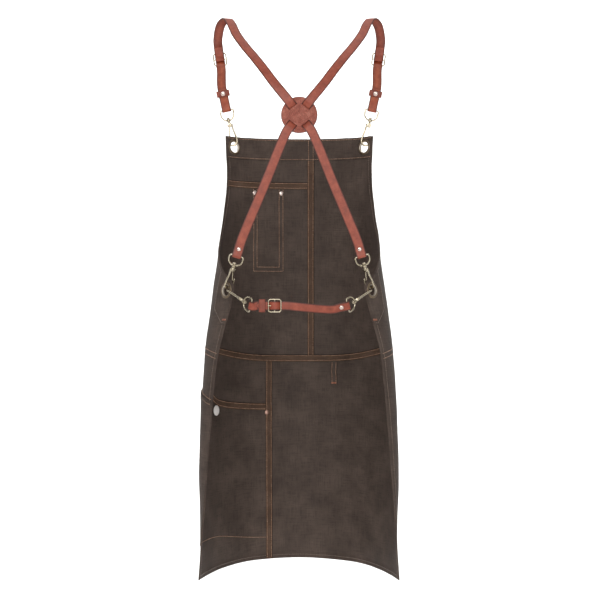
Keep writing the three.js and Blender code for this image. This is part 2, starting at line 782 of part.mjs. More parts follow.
const bossLow = HEAD_DIAMETER / 2 + BOSS_RISE;
const neckTop = bossLow + BOSS_HEIGHT + 1;
const loopCentreZ = bossLow + BOSS_HEIGHT / 2;
const barZ = bossLow + LOOP_OUTER_HEIGHT - LOOP_WIRE / 2;

function cylinderY(radius, length, count) {
  return new THREE.CylinderGeometry(radius, radius, length, count);
}

function cylinderZ(radius, low, high, count) {
  const rod = new THREE.CylinderGeometry(radius, radius, high - low, count);
  return rod.rotateX(Math.PI / 2).translate(0, 0, (low + high) / 2);
}

function hookGeometry() {
  const bow = BOW_ANGLES.map((angle) => {
    const a = degrees(angle);
    return vector(BOW_RADIUS * Math.cos(a), 0, bowCentre + BOW_RADIUS * Math.sin(a));
  });
  const spine = [
    vector(-HEAD_DIAMETER / 2 - 0.2, 0, 1),
    vector(-BOW_RADIUS * 0.66, 0, bowCentre * 0.35),
    vector(-BOW_RADIUS * 0.95, 0, bowCentre * 0.78),
  ];
  const nose = [vector(BOW_RADIUS, 0, gateTipZ + NOSE_OVERLAP)];
  const body = wire([...spine, ...bow, ...nose], HOOK_WIRE, 11);
  const head = cylinderY(HEAD_DIAMETER / 2, HEAD_WIDTH, 12);
  const neck = cylinderZ(NECK_DIAMETER / 2, HEAD_DIAMETER / 2 - 1, neckTop + 1, WIRE_SIDES);
  const bridge = new THREE.BoxGeometry(NECK_DIAMETER + 2 * BRIDGE_RIM, HEAD_WIDTH, BRIDGE_HEIGHT);
  bridge.translate(0, 0, HEAD_DIAMETER / 2);
  const knob = cylinderZ(NECK_DIAMETER / 2 + NECK_RIM, neckTop, neckTop + KNOB_HEIGHT, WIRE_SIDES);
  const deep = 12;
  const inset = deep / 2 - eyeRadius - GAP;
  const slot = new THREE.BoxGeometry(deep, GATE_WIDTH + 2 * GAP, deep).translate(inset, 0, -inset);
  const pin = cylinderY(PIN_DIAMETER / 2, HEAD_WIDTH - 1, SMALL_ROUND);
  const forked = cut(join(body, head, bridge), slot);
  return join(forked, neck, knob, pin);
}

function gateGeometry() {
  const half = GATE_THICKNESS / 2;
  const outline = new THREE.Shape();
  const along = new THREE.Vector2(Math.sin(gateLean), -Math.cos(gateLean));
  const side = new THREE.Vector2(Math.cos(gateLean), Math.sin(gateLean));
  const start = Math.atan2(side.y, side.x);
  const turn = Math.asin(half / eyeRadius);
  const from = start - Math.PI / 2 + turn;
  const arc = steps(SMALL_ROUND).map((t) => from + (2 * Math.PI - 2 * turn) * t);
  const corner = (offset, reach) => along.clone().multiplyScalar(reach).addScaledVector(side, offset);
  const points = arc.map((a) => new THREE.Vector2(eyeRadius * Math.cos(a), eyeRadius * Math.sin(a)));
  const slant = [
    [-half, 1.2],
    [-half * 0.3, 0.2],
    [half, 0.4],
  ];
  for (const [offset, short] of slant) points.push(corner(offset, GATE_LENGTH - short));
  outline.setFromPoints(points);
  outline.holes.push(new THREE.Path(polygon(PIN_DIAMETER / 2 + GAP, SMALL_ROUND)));
  const bar = new THREE.ExtrudeGeometry(outline, { depth: GATE_WIDTH, bevelEnabled: false });
  return bar.translate(0, 0, -GATE_WIDTH / 2).rotateX(Math.PI / 2);
}

// D-shaped loop on the hook's neck, in the hook's frame turned about z
function loopGeometry() {
  const halfX = (LOOP_OUTER_WIDTH - LOOP_WIRE) / 2;
  const height = barZ - loopCentreZ;
  const outline = [
    [0, 0],
    [0.5, 0.08],
    [0.9, 0.36],
    [1, 0.7],
    [0.97, 0.93],
    [0.84, 1],
    [0, 1],
  ];
  const right = outline.map(([x, z]) => vector(x * halfX, 0, loopCentreZ + z * height));
  const left = outline
    .slice(1, -1)
    .reverse()
    .map(([x, z]) => vector(-x * halfX, 0, loopCentreZ + z * height));
  const path = new THREE.CatmullRomCurve3([...right, ...left], true, "centripetal");
  const bow = new THREE.TubeGeometry(path, 16, LOOP_WIRE / 2, 5, true);
  const boss = cylinderZ(NECK_DIAMETER / 2 + GAP + BOSS_WALL, bossLow, bossLow + BOSS_HEIGHT, SMALL_ROUND);
  const bore = cylinderZ(NECK_DIAMETER / 2 + GAP, bossLow - 4, bossLow + BOSS_HEIGHT + 4, WIRE_SIDES);
  return cut(join(bow, boss), bore);
}

const hookShape = hookGeometry();
const gateShape = gateGeometry();
const loopShape = loopGeometry();

// Each hook, as on the wearer's left: the eyelet it holds, the pull on it and how it crosses the cloth.
// roll: turn about the pull from square across the cloth; out: 1 where the spine lies on the outer face;
// sunk: how far the bow lies inside the hole; bar: the way that the loop's bar runs
const HOOKS = [
  {
    name: "top",
    eyelet: "top",
    pull: [-0.2, 0.02, 0.98],
    roll: 48,
    out: -1,
    sunk: 5.2,
    bar: [1, 0, 0],
  },
  {
    name: "lower",
    eyelet: "side",
    pull: [0.25, -0.53, 0.81],
    roll: 0,
    out: 1,
    sunk: 2.6,
    bar: [1, 0, -0.25],
  },
  {
    name: "waist",
    eyelet: "side",
    pull: [0.6, -0.71, -0.37],
    roll: -24,
    out: 1,
    sunk: 2.6,
    bar: [0, 0, 1],
  },
];

function hookFrame(row, { name, sign }) {
  const eyelet = eyelets.find((e) => e.name === `eyelet_${row.eyelet}_${name}`);
  const mirror = (v) => vector(-sign * v[0], v[1], v[2]).normalize();
  const up = mirror(row.pull);
  const out = eyelet.out.clone();
  const inPlane = up.clone().addScaledVector(out, -up.dot(out)).normalize();
  const mid = (eyelet.low + eyelet.high) / 2;
  const crossing = eyelet.at
    .clone()
    .addScaledVector(out, mid)
    .addScaledVector(inPlane, EYELET_HOLE / 2 - wireHalf - row.sunk);
  const square = out.multiplyScalar(-row.out);
  const x = square.addScaledVector(up, -square.dot(up)).normalize();
  x.applyAxisAngle(up, degrees(row.roll) * -sign);
  const pivot = crossing.addScaledVector(up, HOOK_DEPTH);
  const y = up.clone().cross(x);
  const bar = mirror(row.bar);
  const barX = bar.addScaledVector(up, -bar.dot(up)).normalize();
  return {
    pivot,
    up,
    matrix: frameMatrix(pivot, x, y, up),
    loopMatrix: frameMatrix(pivot, barX, up.clone().cross(barX), up),
    bar: pivot.clone().addScaledVector(up, barZ),
    barX,
  };
}

const hooks = {};
for (const side of sides) {
  for (const row of HOOKS) {
    const frame = hookFrame(row, side);
    const key = `${row.name}_${side.name}`;
    hooks[key] = frame;
    piece(`hook_${key}`, hookShape, PALE_NICKEL, frame.matrix);
    piece(`gate_${key}`, gateShape, PALE_NICKEL, frame.matrix);
    piece(`loop_${key}`, loopShape, PALE_NICKEL, frame.loopMatrix);
  }
}

// Straps: a flat band swept through stations, each with a place, the way that its outer face looks and a
// share of the width
function strap(stations, width) {
  const curve = new THREE.CatmullRomCurve3(stations.map((s) => s.at), false, "centripetal");
  const spans = stations.length - 1;
  const splits = stations.slice(0, -1).flatMap((s, i) => (s.curved ? [i, i + 0.5] : [i]));
  const place = (u, v, face) => {
    const span = Math.min(Math.floor(v * spans + 1e-9), spans - 1);
    const share = v * spans - span;
    const from = stations[span];
    const to = stations[span + 1];
    const tangent = curve.getTangent(v);
    const across = from.facing.clone().lerp(to.facing, share).cross(tangent).normalize();
    const out = tangent.clone().cross(across);
    const shareOfWidth = THREE.MathUtils.lerp(from.width ?? 1, to.width ?? 1, share);
    return curve
      .getPoint(v)
      .addScaledVector(across, (0.5 - u) * width * shareOfWidth)
      .addScaledVector(out, (face - 0.5) * LEATHER);
  };
  return slab([0, 1], [...splits, spans].map((split) => split / spans), place);
}

// Stations of a strap that bends about a frame's x: rows give z along it and y outwards
function inFrame(matrix, rows) {
  return rows.map(({ z, y, width }, i) => {
    const before = rows[Math.max(i - 1, 0)];
    const after = rows[Math.min(i + 1, rows.length - 1)];
    const facing = vector(1, 0, 0).cross(vector(0, after.y - before.y, after.z - before.z));
    return { at: vector(0, y, z).applyMatrix4(matrix), facing: facing.transformDirection(matrix), width };
  });
}

const around = (radius, angles) =>
  angles.map((angle) => ({ z: radius * Math.cos(degrees(angle)), y: radius * Math.sin(degrees(angle)) }));

// End of a strap turned back round a loop's bar: back is how far the turned end runs
const PITCH = LEATHER + GAP; // middle to middle of two layers that touch
const LOOP_WRAP = [80, 110, 145, 180, 215, 250, 280]; // degrees round the bar, from the run
function turnedEnd(back) {
  const radius = LOOP_WIRE / 2 + GAP + LEATHER / 2;
  return [
    { z: back + 4, y: PITCH / 2 },
    { z: 4.5 * radius, y: PITCH / 2 + 0.05 },
    { z: 2 * radius, y: PITCH / 2 + 0.7 },
    ...around(radius, LOOP_WRAP),
    { z: 2 * radius, y: -PITCH / 2 - 0.7 },
    { z: 4.5 * radius, y: -PITCH / 2 - 0.05 },
    { z: back, y: -PITCH / 2 },
  ];
}

// Buckle, local frame: middle bar along x, +z from the billet's side to the carrier's, +y outwards
const frameHalf = FRAME_THICKNESS / 2;
const frameInner = FRAME_HALF_LENGTH - FRAME_WIRE;
const LAYER = frameHalf + GAP + LEATHER / 2; // frame's middle to that of the first layer behind it

// Prong from the middle bar to the top of the frame, with room to spare round it when it cuts the leather
const PRONG_WIDTH = 2.2;
const PRONG_THICKNESS = 1.6;
const PRONG_LIFT = 0.2; // above the middle bar's axis
const PRONG_REST = 0.7; // its axis above the frame's face
function prongGeometry(room) {
  const reach = FRAME_HALF_LENGTH;
  const rise = frameHalf + PRONG_REST;
  const length = Math.hypot(reach, rise);
  const rod = new THREE.BoxGeometry(PRONG_WIDTH + 2 * room, PRONG_THICKNESS + 2 * room, length + 2 * room);
  rod.rotateX(-Math.atan2(rise, reach));
  return rod.translate(0, PRONG_LIFT + rise / 2, reach / 2);
}

const FRAME_CORNER = 4;
const FRAME_INNER_CORNER = 2.4;
function buckleGeometry(width) {
  const halfX = width / 2 + FRAME_SIDE_ROOM + FRAME_WIRE;
  const outline = roundedRectangle(halfX, FRAME_HALF_LENGTH, FRAME_CORNER);
  outline.holes.push(roundedRectangle(halfX - FRAME_WIRE, frameInner, FRAME_INNER_CORNER, new THREE.Path()));
  const frame = new THREE.ExtrudeGeometry(outline, { depth: FRAME_THICKNESS, bevelEnabled: false });
  frame.translate(0, 0, -frameHalf).rotateX(Math.PI / 2);
  const bar = new THREE.CylinderGeometry(frameHalf, frameHalf, 2 * halfX - FRAME_WIRE, SMALL_ROUND);
  return join(frame, bar.rotateZ(Math.PI / 2), prongGeometry(0));
}

// Billet: from its pointed end, behind the frame, over the middle bar and behind the frame again
function billet(tip) {
  return [
    { z: tip, y: -LAYER + 0.5, width: 0.4 },
    { z: tip - 5, y: -LAYER + 0.3, width: 0.85 },
    { z: tip - 9, y: -LAYER + 0.1 },
    { z: FRAME_HALF_LENGTH + 1, y: -LAYER - 0.1 },
    { z: frameInner * 0.9, y: -LAYER + 0.2 },
    { z: frameInner * 0.6, y: LAYER * 0.6 },
    { z: frameInner * 0.3, y: LAYER + PITCH * 0.8 },
    { z: 0, y: LAYER + PITCH + 0.25 },
    { z: -frameInner * 0.3, y: LAYER + PITCH * 0.8 },
    { z: -frameInner * 0.6, y: LAYER * 0.6 },
    { z: -frameInner * 0.9, y: -LAYER + 0.2 },
    { z: -FRAME_HALF_LENGTH - 1, y: -LAYER - 0.15 },
    { z: -FRAME_HALF_LENGTH - 8, y: -LAYER - 0.05 },
  ];
}

// Carrier: the strap that holds the buckle, round the middle bar and turned back behind itself
const BUCKLE_WRAP = [50, 90, 130, 180, 230, 268]; // degrees round the middle bar
function carrier(run, back) {
  const deep = LAYER + PITCH + 0.2;
  return [
    { z: run, y: -deep },
    { z: FRAME_HALF_LENGTH, y: -deep - 0.15 },
    { z: frameInner * 0.72, y: -deep + 0.4 },
    { z: frameInner * 0.44, y: -LAYER * 0.6 },
    ...around(LAYER, BUCKLE_WRAP),
    { z: frameInner * 0.4, y: -LAYER - 1.6 },
    { z: frameInner * 0.8, y: -deep - PITCH - 0.1 },
    { z: FRAME_HALF_LENGTH + 2, y: -deep - PITCH - 0.2 },
    { z: back, y: -deep - PITCH - 0.15 },
  ];
}

// Frame of a loop's bar, with z towards the strap's run and y outwards
function barFrame(hook, towards, outwards) {
  const z = towards.clone().sub(hook.bar);
  const x = hook.barX.clone();
  if (z.clone().cross(x).dot(outwards) < 0) x.negate();
  z.addScaledVector(x, -z.dot(x)).normalize();
  return frameMatrix(hook.bar, x, z.clone().cross(x), z);
}

// Keeper: a closed leather loop round the layers of a strap, from y low to y high
const KEEPER_CORNER = 1.6;
const KEEPER_CREASE = 0.2; // radius inside the same corner
function keeperGeometry(width, low, high, at) {
  const halfX = width / 2 + KEEPER_ROOM;
  const halfY = (high - low) / 2 + KEEPER_LIFT;
  const outline = roundedRectangle(halfX + KEEPER_WALL, halfY + KEEPER_WALL, KEEPER_CORNER);
  outline.holes.push(roundedRectangle(halfX, halfY, KEEPER_CREASE, new THREE.Path()));
  const band = new THREE.ExtrudeGeometry(outline, { depth: KEEPER_WIDTH, bevelEnabled: false });
  return band.translate(0, (low + high) / 2, at - KEEPER_WIDTH / 2);
}

// Rivet and the room for its shank through layers between y low and high, at z along a strap
const acrossStrap = (geometry, at) => geometry.rotateX(-Math.PI / 2).translate(0, 0, at);
const strapRivet = (low, high, at) => acrossStrap(rivetGeometry(low, high), at);
const strapRivetRoom = (low, high, at) => acrossStrap(shankRoom(low, high), at);

const FRONT = vector(0, 1, 0);
const BACK = vector(0, -1, 0);
const SEWN_ROOM = 0.25; // how far a doubled strap stands proud of its two layers
const doubledHalf = PITCH / 2 + LEATHER / 2 + SEWN_ROOM;
const doubled = { low: -doubledHalf, high: doubledHalf };
const buckleShape = buckleGeometry(STRAP_WIDTH);

// Front of each shoulder: a billet doubled round the upper loop goes up through the buckle
const FRONT_RETURN = 42;
const FRONT_KEEPER = 33; // loop's bar to the keeper's middle
const BUCKLE_OUT = 1.115; // buckle's distance from the centre, of SHOULDER_HALF
const BUCKLE_FORWARD = 0.72; // its distance forward, of the loop's bar's
const fronts = {};
for (const { name, sign } of sides) {
  const hook = hooks[`top_${name}`];
  const buckleAt = vector(sign * SHOULDER_HALF * BUCKLE_OUT, hook.bar.y * BUCKLE_FORWARD, -BUCKLE_DROP);
  const bar = barFrame(hook, buckleAt, FRONT);
  const z = buckleAt.clone().sub(hook.bar).normalize();
  const y = FRONT.clone().addScaledVector(z, -FRONT.dot(z)).normalize();
  const buckle = frameMatrix(buckleAt, y.clone().cross(z), y, z);
  const rooms = [
    strapRivetRoom(doubled.low, doubled.high, FRONT_KEEPER).applyMatrix4(bar),
    prongGeometry(GAP).applyMatrix4(buckle),
  ];
  const stations = [...inFrame(buckle, billet(TIP_LENGTH)), ...inFrame(bar, turnedEnd(FRONT_RETURN))];
  piece(`billet_${name}`, cut(strap(stations, STRAP_WIDTH), ...rooms), TAN_LEATHER);
  piece(`buckle_${name}`, buckleShape, PALE_NICKEL, buckle);
  const keeperRoom = strapRivetRoom(doubled.low, doubled.high, FRONT_KEEPER);
  const keeper = keeperGeometry(STRAP_WIDTH, doubled.low, doubled.high, FRONT_KEEPER);
  piece(`keeper_${name}`, cut(keeper, keeperRoom), TAN_LEATHER, bar);
  const reach = KEEPER_LIFT + KEEPER_WALL;
  const rivet = strapRivet(doubled.low - reach, doubled.high + reach, FRONT_KEEPER);
  piece(`rivet_keeper_${name}`, rivet, ROSE_NICKEL, bar);
  fronts[name] = { buckle, prong: rooms[1] };
}

// Round back patch with a slot for each strap to dive through on its way in and out
const patchAt = vector(0, -PATCH_REACH, -PATCH_DROP);
const upLean = (sign) => vector(sign * Math.sin(degrees(STRAP_LEAN)), 0, Math.cos(degrees(STRAP_LEAN)));
const PATCH_SIDES = 32;
const SLOT_CORNERS = [
  [1, 1],
  [1, -1],
  [-1, -1],
  [-1, 1],
];
const disc = new THREE.Shape(polygon(PATCH_DIAMETER / 2, PATCH_SIDES));
for (const { sign } of sides) {
  for (const end of [1, -1]) {
    const along = upLean(sign);
    const slot = SLOT_CORNERS.map(([u, v]) => {
      const reach = end * SLOT_RADIUS + (v * SLOT_OPENING) / 2;
      const off = u * (STRAP_WIDTH / 2 + 2 * GAP);
      return new THREE.Vector2(along.x * reach + along.z * off, along.z * reach - along.x * off);
    });
    disc.holes.push(new THREE.Path(slot));
  }
}
const patch = new THREE.ExtrudeGeometry(disc, { depth: PATCH_THICKNESS, bevelEnabled: false });
patch.translate(0, 0, -PATCH_THICKNESS / 2).rotateX(Math.PI / 2);
piece("back_patch", patch, TAN_LEATHER, new THREE.Matrix4().setPosition(patchAt));

// Way of a shoulder strap over the body, from its buckle to the patch.
// across: share of SHOULDER_HALF; back: of PATCH_REACH; down: of PATCH_DROP; facing: degrees from forwards
const ROUTE = [
  { across: 1.133, back: -0.13, down: 0.168, facing: 32 },
  { across: 1.086, back: 0.015, down: 0.046, facing: 48 },
  { across: 1, back: 0.123, down: -0.005, facing: 92 },
  { across: 0.928, back: 0.26, down: 0.063, facing: 130 },
  { across: 0.86, back: 0.4, down: 0.172, facing: 140 },
  { across: 0.732, back: 0.585, down: 0.312, facing: 143 },
  { across: 0.592, back: 0.746, down: 0.443, facing: 148 },
  { across: 0.463, back: 0.869, down: 0.568, facing: 155 },
  { across: 0.342, back: 0.954, down: 0.689, facing: 163 },
];
const onPatch = PATCH_THICKNESS / 2 + GAP + LEATHER / 2;
const LOWER_RETURN = 24;
const LOWER_RIVET = 13; // loop's bar to the rivet
sides.forEach(({ name, sign }, layer) => {
  const other = sides.find((side) => side.sign !== sign).name;
  const under = onPatch + 0.2 + layer * (PITCH + 0.1);
  const slotInner = SLOT_RADIUS - SLOT_OPENING / 2;
  const slotOuter = SLOT_RADIUS + SLOT_OPENING / 2;
  const route = ROUTE.map(({ across, back, down, facing }) => ({
    at: vector(sign * across * SHOULDER_HALF, -back * PATCH_REACH, -down * PATCH_DROP),
    facing: vector(0, Math.cos(degrees(facing)), Math.sin(degrees(facing))),
    curved: true,
  }));
  const through = [
    [PATCH_DIAMETER / 2 + 4, -onPatch - 0.2],
    [slotOuter + 0.6, -onPatch - 0.2],
    [SLOT_RADIUS, 0],
    [slotInner - 0.6, onPatch + 0.2],
    [slotInner * 0.66, under],
    [0, under],
    [-slotInner * 0.66, under],
    [0.6 - slotInner, onPatch + 0.2],
    [-SLOT_RADIUS, 0],
    [-slotOuter - 0.6, -onPatch - 0.2],
    [-PATCH_DIAMETER / 2 - 4, -onPatch - 0.2],
  ].map(([reach, level]) => ({
    at: patchAt.clone().addScaledVector(upLean(sign), reach).add(vector(0, level, 0)),
    facing: BACK.clone(),
  }));
  const hook = hooks[`lower_${other}`];
  const exit = through[through.length - 1].at;
  const bar = barFrame(hook, exit, BACK);
  const end = inFrame(bar, turnedEnd(LOWER_RETURN));
  const middle = { at: exit.clone().lerp(end[0].at, 0.5), facing: BACK.clone() };
  const { buckle, prong } = fronts[name];
  const start = inFrame(buckle, carrier(FRAME_HALF_LENGTH + 8, TIP_LENGTH - 4)).reverse();
  const stations = [...start, ...route, ...through, middle, ...end];
  const rooms = [prong, strapRivetRoom(doubled.low, doubled.high, LOWER_RIVET).applyMatrix4(bar)];
  piece(`shoulder_strap_${name}`, cut(strap(stations, STRAP_WIDTH), ...rooms), TAN_LEATHER);
  piece(`rivet_lower_${other}`, strapRivet(doubled.low, doubled.high, LOWER_RIVET), ROSE_NICKEL, bar);
});

// Waist strap: a long end from the right loop, and a short carrier with the buckle on the left loop
const WAIST_BUCKLE = 44; // left loop's bar to the buckle's middle bar
const WAIST_TIP = 33;
const WAIST_KEEPER = 23; // buckle's middle bar to the keeper's middle
const WAIST_RIVET = 12;
const WAIST_LOOP_ROOM = 12; // left loop's bar to where its strap lies straight
const TURNED_LAP = 7; // length that lies straight behind that
const leftBar = hooks.waist_left.bar;
const rightBar = hooks.waist_right.bar;
const waistRun = rightBar.clone().sub(leftBar).normalize();
const waistBuckleAt = leftBar
  .clone()
  .addScaledVector(waistRun, WAIST_BUCKLE)
  .add(vector(0, -PITCH / 2 - LAYER - PITCH, 0));
const waistUp = waistRun.clone().negate();
const waistBuckle = frameMatrix(waistBuckleAt, BACK.clone().cross(waistUp), BACK, waistUp);
const waistProng = prongGeometry(GAP).applyMatrix4(waistBuckle);
piece("buckle_waist", buckleGeometry(WAIST_STRAP_WIDTH), PALE_NICKEL, waistBuckle);
const rightFrame = barFrame(hooks.waist_right, leftBar, BACK);
const waistRoom = strapRivetRoom(doubled.low, doubled.high, WAIST_RIVET).applyMatrix4(rightFrame);
const longWay = [
  ...inFrame(waistBuckle, billet(WAIST_TIP)),
  ...inFrame(rightFrame, turnedEnd(LOWER_RETURN)),
];
piece("waist_strap", cut(strap(longWay, WAIST_STRAP_WIDTH), waistProng, waistRoom), TAN_LEATHER);
piece("rivet_waist", strapRivet(doubled.low, doubled.high, WAIST_RIVET), ROSE_NICKEL, rightFrame);
const leftFrame = barFrame(hooks.waist_left, rightBar, BACK);
const nearBar = WAIST_BUCKLE - WAIST_LOOP_ROOM;
const turnedBack = { z: nearBar, y: -LAYER - 2 * PITCH - 0.3 };
const shortWay = [
  ...inFrame(waistBuckle, carrier(nearBar, FRAME_HALF_LENGTH + 7)).reverse(),
  ...inFrame(leftFrame, turnedEnd(LOWER_RETURN).slice(2, -2)),
  ...inFrame(waistBuckle, [{ ...turnedBack, z: nearBar - TURNED_LAP }, turnedBack]).reverse(),
];
piece("waist_carrier", cut(strap(shortWay, WAIST_STRAP_WIDTH), waistProng), TAN_LEATHER);
const stackLow = -LAYER - 2 * PITCH - LEATHER / 2 - 0.2;
const stackHigh = -LAYER + LEATHER / 2;
const waistKeeper = keeperGeometry(WAIST_STRAP_WIDTH, stackLow, stackHigh, WAIST_KEEPER);
piece("keeper_waist", waistKeeper, TAN_LEATHER, waistBuckle);

export default apron;
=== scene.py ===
# Bib apron of waxed canvas with leather straps that cross on the back, in the form that it has when worn.
# +Z is up, +X the wearer's right, +Y the way the wearer faces. The camera stands behind the wearer's place.
import math

import bmesh
import bpy
import mathutils
import numpy as np
from mathutils import Matrix, Vector


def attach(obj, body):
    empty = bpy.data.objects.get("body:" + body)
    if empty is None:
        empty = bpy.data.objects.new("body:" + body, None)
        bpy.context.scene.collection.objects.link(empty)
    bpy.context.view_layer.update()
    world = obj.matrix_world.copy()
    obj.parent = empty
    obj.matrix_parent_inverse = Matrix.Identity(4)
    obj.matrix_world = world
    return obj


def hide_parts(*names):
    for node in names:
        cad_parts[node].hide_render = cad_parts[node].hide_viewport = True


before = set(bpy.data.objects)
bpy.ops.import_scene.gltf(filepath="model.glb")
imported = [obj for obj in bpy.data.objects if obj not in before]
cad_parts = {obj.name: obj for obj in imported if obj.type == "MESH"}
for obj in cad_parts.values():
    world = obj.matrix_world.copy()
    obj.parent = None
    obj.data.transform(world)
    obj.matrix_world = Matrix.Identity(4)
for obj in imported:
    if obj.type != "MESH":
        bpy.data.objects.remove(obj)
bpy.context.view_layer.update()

# Cloth on the body. The apron is cut flat from waxed canvas, and hangs from four eyelets round the wearer's chest and
# hips. Its cut is measured in millimetres: "along" runs round the body from the centre front, "drop" runs down from
# the bib's top edge, and "level" runs out of the cloth's inner face.
MM = 0.001
HALF_WIDTH = 332
BIB_HALF = 160
LENGTH = 834
BIB_DROP = 216
ARMHOLE = 294
ARMHOLE_POWER = 2.7
FRONT_REACH = 115
WAIST = 437
WAIST_RISE = 22
WAIST_TURN = 0.68  # half waves that the waist seam's rise has gone through at the side
HIP_SEAM = 533
HIP_RISE = 43
HIP_TURNS = [0, 0.2, 0.33, 0.45, 0.53, 0.61, 0.735, 0.87, 1]
HIP_SHARES = [0, 0, 0.05, 0.14, 0.23, 0.4, 1, 0.8, 0.5]
CANVAS_THICK = 1.2
CENTRE_SEAM = 23
CHEST_SEAM = 93
SKIRT_SEAM = -62
# Shares of the half width, and for each share of the length: reach forward, then how far the cloth has turned
TURN_AT = [0, 0.1, 0.28, 0.47, 0.68, 0.85, 1]
FORM_DROP = [0, 0.19, 0.28, 0.36, 0.5, 0.63, 0.78, 1]
FORM_FRONT = [0.97, 0.99, 1, 1, 0.98, 0.97, 0.95, 0.93]
FORM_TURN = [
    [0, 7, 23, 48, 65, 78, 88],
    [0, 10, 32, 60, 88, 104, 113],
    [0, 10, 31, 56, 91, 110, 120],
    [0, 10, 29.5, 53, 83, 118, 140],
    [0, 9.5, 28.5, 50.5, 71, 105, 133],
    [0, 10, 30, 52.5, 66, 92, 140],
    [0, 12, 31, 53, 66, 84, 130],
    [0, 17, 36, 61, 71, 75, 80],
]
# Lines of the flat cells that the eyelets, rivets and the cap sit on
COLUMN_LINES = [0, 0.09, 0.22, 0.295, 0.37, 0.475, 0.56, 0.645, 0.73, 0.815, 0.895, 1]
ROW_LINES = [0, 0.055, 0.12, 0.18, 0.235, 0.29, 0.34, 0.387, 0.45, 0.52, 0.59, 0.66, 0.74, 0.82, 0.91, 1]


def unit(v):
    return v / np.maximum(np.linalg.norm(v, axis=-1, keepdims=True), 1e-12)


def smooth(xs, ys, x):
    xs, ys = np.asarray(xs, float), np.asarray(ys, float)
    last = len(xs) - 1
    i = np.clip(np.searchsorted(xs, x, side="left") - 1, 0, last - 1)
    before = np.maximum(np.arange(last + 1) - 1, 0)
    after = np.minimum(np.arange(last + 1) + 1, last)
    slope = (ys[after] - ys[before]) / (xs[after] - xs[before])
    span = xs[i + 1] - xs[i]
    t = np.clip((x - xs[i]) / span, 0, 1)
    rise = ys[i + 1] - ys[i]
    a = slope[i] * span - rise
    b = rise - slope[i + 1] * span
    return ys[i] + rise * t + t * (1 - t) * (a * (1 - t) + b * t)


def body_form(along, drop):
    """The smooth form of the body under the cloth, in mm."""
    along, drop = np.broadcast_arrays(np.asarray(along, float), np.asarray(drop, float))
    share = drop / LENGTH
    turns = [np.radians(smooth(FORM_DROP, [row[k] for row in FORM_TURN], share)) for k in range(len(TURN_AT))]
    x = np.zeros(along.shape)
    y = FRONT_REACH * smooth(FORM_DROP, FORM_FRONT, share)
    for k in range(len(TURN_AT) - 1):
        start, end = TURN_AT[k] * HALF_WIDTH, TURN_AT[k + 1] * HALF_WIDTH
        reach = np.abs(along)
        if k < len(TURN_AT) - 2:
            reach = np.minimum(reach, end)
        reach = np.maximum(reach, start)
        rate = (turns[k + 1] - turns[k]) / (end - start)
        angle = turns[k] + rate * (reach - start)
        x += (np.sin(angle) - np.sin(turns[k])) / rate
        y += (np.cos(angle) - np.cos(turns[k])) / rate
    return np.stack([np.sign(along) * x, y, -BIB_DROP - drop], -1)


def side_edge(drop):
    return BIB_HALF + (HALF_WIDTH - BIB_HALF) * np.clip(np.asarray(drop, float) / ARMHOLE, 0, 1) ** ARMHOLE_POWER


def outward(along):
    """How far out a place is, from 0 at the centre front to 1 at the side."""
    return np.minimum(np.abs(along) / HALF_WIDTH, 1)


def waist_at(along):
    return WAIST - WAIST_RISE * np.sin(WAIST_TURN * np.pi * outward(along)) ** 4


def hip_at(along):
    return HIP_SEAM - HIP_RISE * smooth(HIP_TURNS, HIP_SHARES, outward(along))


def frame_of(at, x, y, z):
    made = np.eye(4)
    made[:3, 0], made[:3, 1], made[:3, 2], made[:3, 3] = x, y, z, at
    return made


def flat_place(along, drop):
    """Frame of a place on the flat cell round it, z pointing out of the cloth."""
    columns = np.array([-c for c in COLUMN_LINES[:0:-1]] + COLUMN_LINES) * HALF_WIDTH
    rows = np.array(ROW_LINES) * LENGTH
    i = np.searchsorted(columns, along, side="right") - 1
    j = np.searchsorted(rows, drop, side="right") - 1
    left, right, top, bottom = columns[i], columns[i + 1], rows[j], rows[j + 1]
    u, v = (along - left) / (right - left), (drop - top) / (bottom - top)
    side = [body_form(x, top) * (1 - v) + body_form(x, bottom) * v for x in (left, right)]
    end = [body_form(left, y) * (1 - u) + body_form(right, y) * u for y in (top, bottom)]
    across = unit(side[1] - side[0])
    out = unit(np.cross(across, end[1] - end[0]))
    return frame_of(side[0] * (1 - u) + side[1] * u, across, np.cross(out, across), out)


EYELETS = {
    "top_left": (-140, 20.5),
    "top_right": (140, 20.5),
    "side_left": (-314, 303),
    "side_right": (314, 303),
}
RIVETS = {"rivet_pen_left": (-92, 108.5), "rivet_pen_right": (-36, 108.5), "rivet_hip": (-66.5, 544.5)}
CAP = (-203, 534)
# Each fitting presses the cloth flat round it: how far the cloth is flat, and where the press has faded
EYELET_PRESS, RIVET_PRESS, CAP_PRESS = (19, 44), (6, 22), (11, 30)
pressed = [(place, flat_place(*place), *EYELET_PRESS) for place in EYELETS.values()]
pressed += [(place, flat_place(*place), *RIVET_PRESS) for place in RIVETS.values()]
pressed += [(CAP, flat_place(*CAP), *CAP_PRESS)]
PUCKER, PUCKER_RUN, PUCKER_REACH = 0.2, 2.3, 8  # height, a sixth of a wave's length, and how far from the seam
# Waves of the slack: height, and for each of two sines its length round the body, its length down it and its start
SLACK = [
    (0.8, (41, 170, 1.3), (math.inf, 83, 0.4)),
    (0.55, (23, -58, 0.7), (95, 37, 0)),
    (0.3, (12.5, 29, 0), (-33, 21, 2)),
]


def pucker(run, off):
    """Small waves that the thread's pull leaves beside a seam, uneven in length and in height."""
    wave = np.sin(run / PUCKER_RUN + 1.7 * np.sin(run / 19.0)) * (0.75 + 0.25 * np.sin(run / 31.0))
    return PUCKER * wave * np.exp(-((off / PUCKER_REACH) ** 2))


